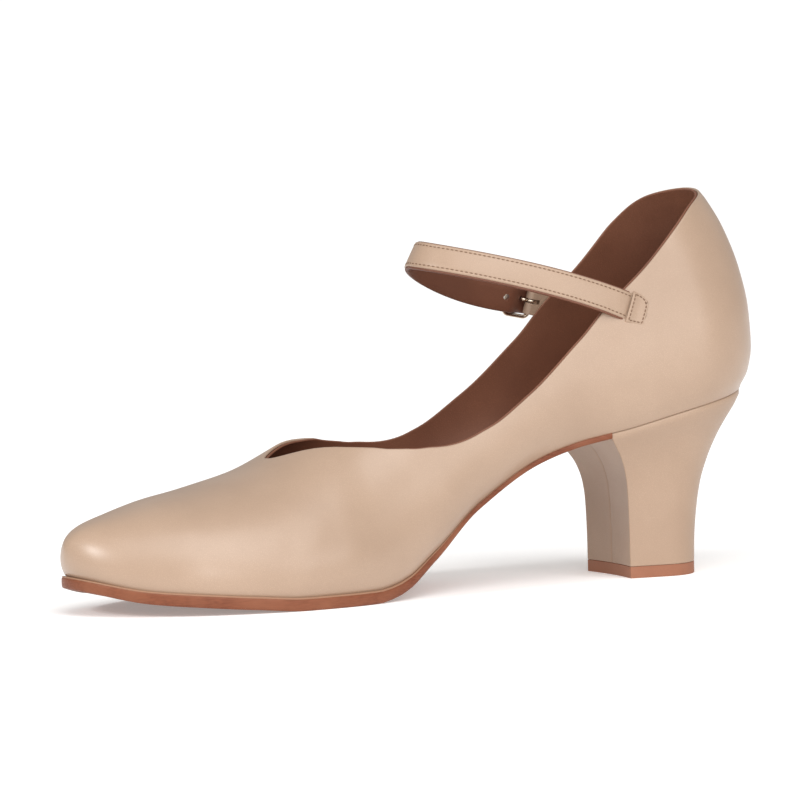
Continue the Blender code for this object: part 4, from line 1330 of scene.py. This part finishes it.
# Share of the half width across, and millimetres up from the middle of the two strips
OUTER_STRIP = (
    (-0.92, 0.46), (0.92, 0.46), (0.955, 0.52), (0.955, 0.62), (0.940, 0.72), (0.905, 0.82),
    (0.89, 0.885), (0.82, 0.90), (0.765, 0.86), (0.73, 0.78), (0.695, 0.86), (0.64, 0.91),
    (0.40, 0.94), (0.00, 0.955), (-0.40, 0.94), (-0.64, 0.91), (-0.695, 0.86), (-0.73, 0.78),
    (-0.765, 0.86), (-0.82, 0.90), (-0.89, 0.885), (-0.905, 0.82), (-0.940, 0.72), (-0.955, 0.62),
    (-0.955, 0.52),
)
BACK_STRIP = (
    (-0.95, -0.90), (-0.40, -0.92), (0.40, -0.92), (0.95, -0.90), (1.01, -0.78), (1.03, -0.50),
    (1.03, 0.15), (1.01, 0.38), (0.96, 0.45), (0.40, 0.45), (-0.40, 0.45), (-0.96, 0.45),
    (-1.05, 0.42), (-1.08, 0.25), (-1.08, -0.50), (-1.04, -0.78),
)


def band(profile):
    rings = []
    for point, _, width_way, out, half, share in STRAP_PLACES:
        rings.append([point + width_way * half * across + out * up * MM * share for across, up in profile])
    return tube(rings)


def apply_modifiers(piece):
    graph = bpy.context.evaluated_depsgraph_get()
    mesh = bpy.data.meshes.new_from_object(piece.evaluated_get(graph))
    piece.modifiers.clear()
    old, piece.data = piece.data, mesh
    mesh.name = piece.name
    bpy.data.meshes.remove(old)


def punch(piece, cutters):
    """Cuts closed bmeshes out of a piece, for good."""
    made = []
    for k, maker in enumerate(cutters):
        bmesh.ops.recalc_face_normals(maker, faces=maker.faces)
        mesh = bpy.data.meshes.new(f"{piece.name}_cutter_{k}")
        maker.to_mesh(mesh)
        maker.free()
        cutter = bpy.data.objects.new(mesh.name, mesh)
        bpy.context.scene.collection.objects.link(cutter)
        boolean = piece.modifiers.new(mesh.name, "BOOLEAN")
        boolean.operation = "DIFFERENCE"
        boolean.solver = "EXACT"
        boolean.object = cutter
        made.append(cutter)
    apply_modifiers(piece)
    piece.data.shade_smooth()
    piece.data.set_sharp_from_angle(angle=math.radians(CUT_ANGLE))
    for cutter in made:
        mesh = cutter.data
        bpy.data.objects.remove(cutter)
        bpy.data.meshes.remove(mesh)


def strap_frame(s):
    """Middle and outward direction of the strap over the outer quarter at s."""
    ends = []
    for place in (s - STRAP_STEP / 2, s + STRAP_STEP / 2):
        point, outward = quarter_line(OUTER, place)
        ends.append(point + outward * strap_lift(place))
    way = (ends[1] - ends[0]).normalized()
    width_way = way.cross(outward).normalized()
    return (ends[0] + ends[1]) / 2, width_way.cross(way).normalized()


def hole_cutters():
    cutters = []
    for k in range(HOLE_COUNT):
        point, out = strap_frame(prong_place() + HOLE_SPACING * (k - 1))
        turn = out.to_track_quat("Z", "Y").to_matrix().to_4x4()
        maker = bmesh.new()
        bmesh.ops.create_cone(maker, cap_ends=True, segments=20, radius1=HOLE_RADIUS, radius2=HOLE_RADIUS,
                              depth=STRAP_THICKNESS * 3, matrix=Matrix.Translation(point) @ turn)
        cutters.append(maker)
    return cutters


def make_strap():
    pieces = (
        add_piece("strap_outer_strip", band(OUTER_STRIP), STRAP_LEATHER, ["strap"], 60),
        add_piece("strap_backing", band(BACK_STRIP), BACKING_LEATHER, [], 60),
    )
    for piece in pieces:
        punch(piece, hole_cutters())


make_strap()

# %% [markdown]
# ## Stitches
#
# A lockstitch shows one short bar of thread after another, each end going down a needle hole. Bump
# would look the same from afar, but it has no outline, so each stitch is a small capsule. They are
# joined into one mesh for each row of sewing, with only a few dozen faces a stitch.

# %% Thread and stitches
STITCH_PITCH = 1.55 * MM
STITCH_LENGTH = 1.10 * MM
STITCH_WIDTH = 0.48 * MM
STITCH_HEIGHT = 0.34 * MM

# Height of the thread over the middle of the strips (mm), the strap's least half width for it, as
# a share of GROOVE_AT, and how far from the tip the seam ends, as a share of TIP_ROUND
STITCH_LEVEL = 0.84
SEAM_ROOM = 1.15
SEAM_STOP = 1.1

# The thread is darker than its own colour: partly painted shade, standing for the dark needle holes
THREAD_BROWN_WITH_SHADE = (0.205, 0.120, 0.070)
PLAIN_SHADE = 0.86
PLAIN_DULLER = 1.25


def plain(name, colour, roughness, metallic=0.0, grain=0.3 * MM, depth=0.004 * MM):
    """A material of one substance, whose colour and surface vary a little."""
    material, nodes, links = new_material(name)
    shader = nodes["Principled BSDF"]
    place = nodes.new("ShaderNodeTexCoord")
    noise = add_noise(nodes, links, place, grain, 3.0)
    share = add_patches(nodes, links, noise)
    shade = tuple(c * PLAIN_SHADE for c in colour)
    links.new(add_mix(nodes, links, share, colour, shade), shader.inputs["Base Color"])
    dull = add_range(nodes, links, share, 0.0, 1.0, roughness, roughness * PLAIN_DULLER)
    links.new(dull, shader.inputs["Roughness"])
    shader.inputs["Metallic"].default_value = metallic
    add_bump(nodes, links, noise.outputs["Fac"], depth)
    return material


def sew(name, places):
    """One mesh of stitches; each place is a point, the way of the seam and the way out."""
    thread = bmesh.new()
    for point, way, out in places:
        width_way = way.cross(out).normalized()
        turn = Matrix((way, width_way, out)).transposed().to_4x4()
        size = Matrix.Diagonal((STITCH_LENGTH / 2, STITCH_WIDTH / 2, STITCH_HEIGHT / 2, 1))
        bmesh.ops.create_uvsphere(thread, u_segments=8, v_segments=6, radius=1.0,
                                  matrix=Matrix.Translation(point) @ turn @ size)
    add_piece(name, thread, THREAD, [], 180)


def strap_seam(side_share, start, end):
    """Places of stitches along the strap, between two distances from its inner end."""
    places = []
    count = int((end - start) / STITCH_PITCH)
    k = 0
    for j in range(count + 1):
        run = start + j * STITCH_PITCH
        while k < len(STRAP_RUN) - 2 and STRAP_RUN[k + 1] < run:
            k += 1
        t = (run - STRAP_RUN[k]) / (STRAP_RUN[k + 1] - STRAP_RUN[k])
        first, second = STRAP_PLACES[k], STRAP_PLACES[k + 1]
        point, way, width_way, out = (first[i].lerp(second[i], t) for i in range(4))
        half = first[4] + (second[4] - first[4]) * t
        if half >= GROOVE_AT * SEAM_ROOM:
            spot = point + width_way * GROOVE_AT * side_share + out * STITCH_LEVEL * MM * first[5]
            places.append((spot, way.normalized(), out.normalized()))
    return places


THREAD = plain("thread_with_painted_shade", THREAD_BROWN_WITH_SHADE, 0.62)
SEAM_END = STRAP_RUN[-1] - TIP_ROUND * SEAM_STOP
seams = strap_seam(1, SLIT_TAIL, SEAM_END) + strap_seam(-1, SLIT_TAIL, SEAM_END)
sew("strap_stitches", seams)

# %% [markdown]
# ## The slit and its patch
#
# On the inner side the strap dives through a slit in the quarter. A small patch behind the slit
# takes the pull. It is skived thin at its edges and sewn down all round, so it only rises by half
# a millimetre, with a free lip over the strap. It is laid on the quarter's own surface.

# %% The patch behind the slit
PATCH_FRONT = ANCHOR_LENGTH - 0.2 * MM
PATCH_LENGTH = 6.6 * MM
PATCH_HALF = 5.5 * MM
PATCH_NARROWS = 0.7 * MM
PATCH_ROUND = (1.4 * MM, 3.8 * MM)
PATCH_THICK = 0.42 * MM
PATCH_SINK = 0.10 * MM
PATCH_SKIVE = (-0.05 * MM, 0.55 * MM)
PATCH_WALL = 0.35 * MM
PATCH_RIM = 0.12 * MM
LIP_HIGH = 0.85 * MM
LIP_FADE = 2.2 * MM
PATCH_ROWS = 34
PATCH_ACROSS = 44
QUARTER_STEP = 0.5 * MM

# The seam lies this far inside the patch's edge and begins at this share of its length
SEAM_INSET = 1.0 * MM
SEAM_FRONT = 0.14
SEAM_PITCH = 0.86
THREAD_RISE = 0.04 * MM
LONG_STEPS = 60
REAR_STEPS = 20
FRONT_STEPS = 40


def across_quarter(s, c):
    """Point and outward direction at s along the inner strap line and c above it."""
    base, outward = quarter_line(INNER, s)
    near, _ = quarter_line(INNER, s + QUARTER_STEP)
    way = (near - base).normalized()
    up = way.cross(outward).normalized()
    if up.z < 0:
        up.negate()
    spot = base + up * c
    return on_quarter(INNER, spot.x, spot.z)


def face_out(piece, outward):
    """Turns an open sheet's faces to the outer side, which its thickness then lies behind."""
    total = sum((face.normal for face in piece.data.polygons), Vector())
    if total.dot(outward) < 0:
        piece.data.flip_normals()


def patch_edge(share, which, inset=0.0):
    """How far the patch reaches across, at a share of its length; which is 0 below and 1 above."""
    left = (1 - share) * PATCH_LENGTH - inset
    rounding = PATCH_ROUND[which] - inset
    drop = 0.0
    if left < rounding:
        drop = rounding - math.sqrt(max(0.0, rounding ** 2 - (rounding - left) ** 2))
    return PATCH_HALF - PATCH_NARROWS * share - drop - inset


def patch_height(share, c):
    """Height over the quarter: a lip in front, flat behind it, sunk at the other three edges."""
    behind = share * PATCH_LENGTH
    left = (1 - share) * PATCH_LENGTH
    edge = min(left, patch_edge(share, 1) - c, c + patch_edge(share, 0))
    body = PATCH_THICK * smooth_step(edge, *PATCH_SKIVE) - PATCH_SINK
    lip = LIP_HIGH * math.exp(-(behind / LIP_FADE) ** 2) * max(0.0, 1 - (c / PATCH_HALF) ** 4)
    return body + lip


def make_patch():
    rows = []
    for j in range(PATCH_ROWS + 1):
        share = math.sin(math.pi / 2 * j / PATCH_ROWS)
        low, high = -patch_edge(share, 0), patch_edge(share, 1)
        row = []
        for k in range(PATCH_ACROSS + 1):
            c = low + (high - low) * (1 - math.cos(math.pi * k / PATCH_ACROSS)) / 2
            point, outward = across_quarter(PATCH_FRONT + share * PATCH_LENGTH, c)
            row.append(point + outward * patch_height(share, c))
        rows.append(row)
    piece = add_piece("slit_patch", sheet(rows), STRAP_LEATHER, [], 60)
    face_out(piece, quarter_line(INNER, PATCH_FRONT)[1])
    add_wall(piece, PATCH_WALL, PATCH_RIM, 2)


def patch_seam():
    """Stitches along the top, the rear, the bottom and just behind the slit."""
    corners = []
    for k in range(LONG_STEPS + 1):
        share = SEAM_FRONT + (1 - SEAM_FRONT - SEAM_INSET / PATCH_LENGTH) * k / LONG_STEPS
        corners.append((share, patch_edge(share, 1, SEAM_INSET)))
    rear, top = corners[-1]
    bottom = -patch_edge(rear, 0, SEAM_INSET)
    for k in range(1, REAR_STEPS):
        corners.append((rear, top + (bottom - top) * k / REAR_STEPS))
    for k in range(LONG_STEPS + 1):
        share = rear + (SEAM_FRONT - rear) * k / LONG_STEPS
        corners.append((share, -patch_edge(share, 0, SEAM_INSET)))
    low, high = corners[-1][1], corners[0][1]
    for k in range(1, FRONT_STEPS + 1):
        corners.append((SEAM_FRONT, low + (high - low) * k / FRONT_STEPS))
    points = []
    for share, c in corners:
        point, outward = across_quarter(PATCH_FRONT + share * PATCH_LENGTH, c)
        points.append((point + outward * (patch_height(share, c) + THREAD_RISE), outward))
    return even_places(points, STITCH_PITCH * SEAM_PITCH)


def even_places(points, pitch):
    """Evenly spaced places along a line of points with their outward directions."""
    places, wanted, run = [], pitch / 2, 0.0
    for (first, out), (second, _) in zip(points, points[1:]):
        length = (second - first).length
        while length and run + length >= wanted:
            places.append((first.lerp(second, (wanted - run) / length), (second - first).normalized(), out))
            wanted += pitch
        run += length
    return places


make_patch()
sew("patch_stitches", patch_seam())

# %% [markdown]
# ## The buckle
#
# The buckle is pale gilt wire: a frame whose rear bar is held by the tab, and a prong hooked round
# that bar, which comes up through a punched hole and rests on the front bar. Cast metal is smooth,
# so each is a ring of points swept along a curved line, with enough sides to shine evenly.

# %% The buckle's frame and prong
WIRE_SIDES = 18
CORNER_STEPS = 12
PALE_GILT = (0.80, 0.68, 0.55)

# The hook goes round the bar in points, from one angle on by another each, in degrees. Then the
# prong loses a share of its radius from a share of its length on, and again near its end
HOOK_POINTS = 9
HOOK_START = 60
HOOK_TURN = 30
PRONG_STEPS = 6
PRONG_TAPER = (0.25, 0.6)
PRONG_POINT = (0.4, 0.97)
PRONG_STATIONS = (("under", 0.72), ("middle", 1.00), ("above", 1.22), ("between", 1.55))


def buckle_axes(s):
    """Origin and axes of the buckle at s: back along the strap, across it and outwards."""
    point, outward = quarter_line(OUTER, s)
    ahead, _ = quarter_line(OUTER, s - STRAP_STEP)
    back = (point - ahead).normalized()
    across = outward.cross(back).normalized()
    return point, back, across, back.cross(across).normalized()


def from_axes(axes, back, across, out):
    origin, back_way, across_way, out_way = axes
    return origin + back_way * back + across_way * across + out_way * out


def wire_rings(points, radius_of, closed):
    """Rings round a wire's points, kept from twisting; radius_of gives the radius at a share."""
    count = len(points)
    rings, side_way = [], None
    for k, point in enumerate(points):
        ahead = points[(k + 1) % count] if closed or k + 1 < count else point
        behind = points[k - 1] if closed or k else point
        way = (ahead - behind).normalized()
        if side_way is None:
            side_way = way.orthogonal()
        side_way = (side_way - way * side_way.dot(way)).normalized()
        up_way = way.cross(side_way)
        radius = radius_of(k / (count - 1))
        rings.append([point + (side_way * math.cos(2 * math.pi * j / WIRE_SIDES)
                               + up_way * math.sin(2 * math.pi * j / WIRE_SIDES)) * radius
                      for j in range(WIRE_SIDES)])
    return rings


def smooth_line(points, steps):
    """A curve through all the points, with this many steps between each two."""
    line = []
    for k in range(len(points) - 1):
        before = points[max(k - 1, 0)]
        after = points[min(k + 2, len(points) - 1)]
        start, end = points[k], points[k + 1]
        line += interpolate_bezier(start, start + (end - before) / 6, end - (after - start) / 6,
                                   end, steps + 1)[:-1]
    return line + [points[-1]]


def front_bar_out():
    """Height of the front bar of the buckle, which lies over the strap."""
    front = -BUCKLE_SET - BUCKLE_LENGTH
    return strap_lift(front) + STRAP_THICKNESS / 2 + GAP + BUCKLE_WIRE


def make_frame():
    axes = buckle_axes(-BUCKLE_SET)
    half = STRAP_WIDTH / 2 + BUCKLE_PLAY + BUCKLE_WIRE
    points = []
    for corner_back, corner_across, start in (
        (-BUCKLE_CORNER, half - BUCKLE_CORNER, 0),
        (-BUCKLE_LENGTH + BUCKLE_CORNER, half - BUCKLE_CORNER, 90),
        (-BUCKLE_LENGTH + BUCKLE_CORNER, -half + BUCKLE_CORNER, 180),
        (-BUCKLE_CORNER, -half + BUCKLE_CORNER, 270),
    ):
        for k in range(CORNER_STEPS + 1):
            turn = math.radians(start + 90 * k / CORNER_STEPS)
            back = corner_back + BUCKLE_CORNER * math.cos(turn)
            across = corner_across + BUCKLE_CORNER * math.sin(turn)
            rise = (front_bar_out() - bar_out()) * -back / BUCKLE_LENGTH
            points.append(from_axes(axes, back, across, bar_out() + rise))
    rings = wire_rings(points, lambda share: BUCKLE_WIRE, True)
    maker = sheet([ring + ring[:1] for ring in rings + rings[:1]])
    weld(maker)
    add_piece("gilt_buckle_frame", maker, GILT, ["buckle_frame"], 60)


def prong_radius(share):
    """Radius at a share of the prong's length: it tapers, and its point is rounded off."""
    taper, start = PRONG_TAPER
    radius = PRONG_WIRE * (1.0 - taper * smooth_step(share, start, 1.0))
    rounding, end = PRONG_POINT
    return radius * (1 - rounding * smooth_step(share, end, 1.0))


def make_prong():
    axes = buckle_axes(-BUCKLE_SET)
    hook = BUCKLE_WIRE + GAP + PRONG_WIRE
    points = []
    for k in range(HOOK_POINTS):
        turn = math.radians(HOOK_START - HOOK_TURN * k)
        points.append(from_axes(axes, hook * math.cos(turn), 0, bar_out() + hook * math.sin(turn)))
    through = prong_place() + BUCKLE_SET
    strap_middle = strap_lift(prong_place())
    over = front_bar_out() + BUCKLE_WIRE + GAP + PRONG_WIRE
    above = strap_middle + STRAP_THICKNESS / 2 + GAP + PRONG_WIRE
    levels = {"under": 2 * strap_middle - above, "middle": strap_middle, "above": above,
              "between": (above + over) / 2 + GAP}
    for name, forward in PRONG_STATIONS:
        points.append(from_axes(axes, through * forward, 0, levels[name]))
    for back in (-BUCKLE_LENGTH, -BUCKLE_LENGTH - BUCKLE_WIRE - PRONG_OVERHANG):
        points.append(from_axes(axes, back, 0, over))
    maker = tube(wire_rings(smooth_line(points, PRONG_STEPS), prong_radius, False))
    add_piece("gilt_buckle_prong", maker, GILT, ["buckle_prong"], 50)


GILT = plain("pale_gilt_metal", PALE_GILT, 0.22, 1.0, 2.0 * MM, 0.002 * MM)
make_frame()
make_prong()

# %% [markdown]
# ## The buckle's tab
#
# The tab is one strip folded round the rear bar, its two layers sewn together and to the quarter.
# So it is one sheet along the folded path: back under, round the bar and back over. A slot in the
# fold lets the prong swing.

# %% The folded tab
FOLD_STEPS = 22
LAYER_STEPS = 34
LAYER_CROWDING = 0.8
TAB_ACROSS = 12
TAB_PRESSED = 0.96

# Where the upper layer comes down to the lower one, and the slot's size and place, all as
# multiples of the loop's radius
LOOP_FADE = 2.4
SLOT_REACH = 4
SLOT_FORWARD = 0.6
TAB_SEAM_INSET = 1.1 * MM
TAB_SEAM_START = 4.2 * MM
TAB_SEAM_STEPS = 39


def fold_path():
    """Places and heights of the middle of the tab's leather, from under to over."""
    radius = loop_radius() - TAB_LAYER / 2
    low = GAP + TAB_LAYER / 2
    high = GAP + TAB_LAYER * 1.5
    path = []
    for k in range(LAYER_STEPS):
        share = math.cos(math.pi / 2 * k / LAYER_STEPS) ** LAYER_CROWDING
        path.append((-BUCKLE_SET + (TAB_LENGTH + BUCKLE_SET) * share, low))
    for k in range(FOLD_STEPS + 1):
        turn = math.pi * k / FOLD_STEPS
        path.append((-BUCKLE_SET - radius * math.sin(turn), bar_out() - radius * math.cos(turn)))
    for k in range(1, LAYER_STEPS + 1):
        share = 1 - math.cos(math.pi / 2 * k / LAYER_STEPS) ** LAYER_CROWDING
        behind = (TAB_LENGTH + BUCKLE_SET) * share
        fall = smooth_step(behind, 0.0, loop_radius() * LOOP_FADE)
        path.append((-BUCKLE_SET + behind, bar_out() + radius + (high - bar_out() - radius) * fall))
    return path


def make_tab():
    rows = []
    for s, height in fold_path():
        point, back, across, out = buckle_axes(s)
        half = tip_width(TAB_LENGTH - s, TAB_WIDTH / 2, TAB_ROUND)
        rows.append([point + out * height + across * half * (2 * k / TAB_ACROSS - 1)
                     for k in range(TAB_ACROSS + 1)])
    piece = add_piece("folded_tab", sheet(rows), STRAP_LEATHER, ["buckle_tab"], 60)
    wall = piece.modifiers.new("wall", "SOLIDIFY")
    wall.thickness = TAB_LAYER * TAB_PRESSED
    wall.offset = 0
    axes = buckle_axes(-BUCKLE_SET)
    reach = loop_radius() * SLOT_REACH
    slot = bmesh.new()
    bmesh.ops.create_cube(slot, size=1.0)
    turn = Matrix(axes[1:]).transposed().to_4x4()
    size = Matrix.Diagonal((reach, 2 * (PRONG_WIRE + GAP), reach, 1))
    centre = from_axes(axes, -loop_radius() * SLOT_FORWARD, 0, bar_out())
    bmesh.ops.transform(slot, matrix=Matrix.Translation(centre) @ turn @ size, verts=slot.verts)
    punch(piece, [slot])


def tab_seam():
    """Stitches round the tab's top layer, just inside its edge."""
    top = GAP + TAB_LAYER * 2 + THREAD_RISE
    run = TAB_LENGTH + BUCKLE_SET - TAB_SEAM_START - TAB_SEAM_INSET
    points = []
    for sign in (1, -1):
        line = []
        for k in range(TAB_SEAM_STEPS + 1):
            s = -BUCKLE_SET + TAB_SEAM_START + run * k / TAB_SEAM_STEPS
            point, _, across, out = buckle_axes(s)
            half = tip_width(TAB_LENGTH - s, TAB_WIDTH / 2, TAB_ROUND) - TAB_SEAM_INSET
            line.append((point + out * top + across * half * sign, out))
        points += line[::sign]
    return even_places(points, STITCH_PITCH)


make_tab()
sew("tab_stitches", tab_seam())
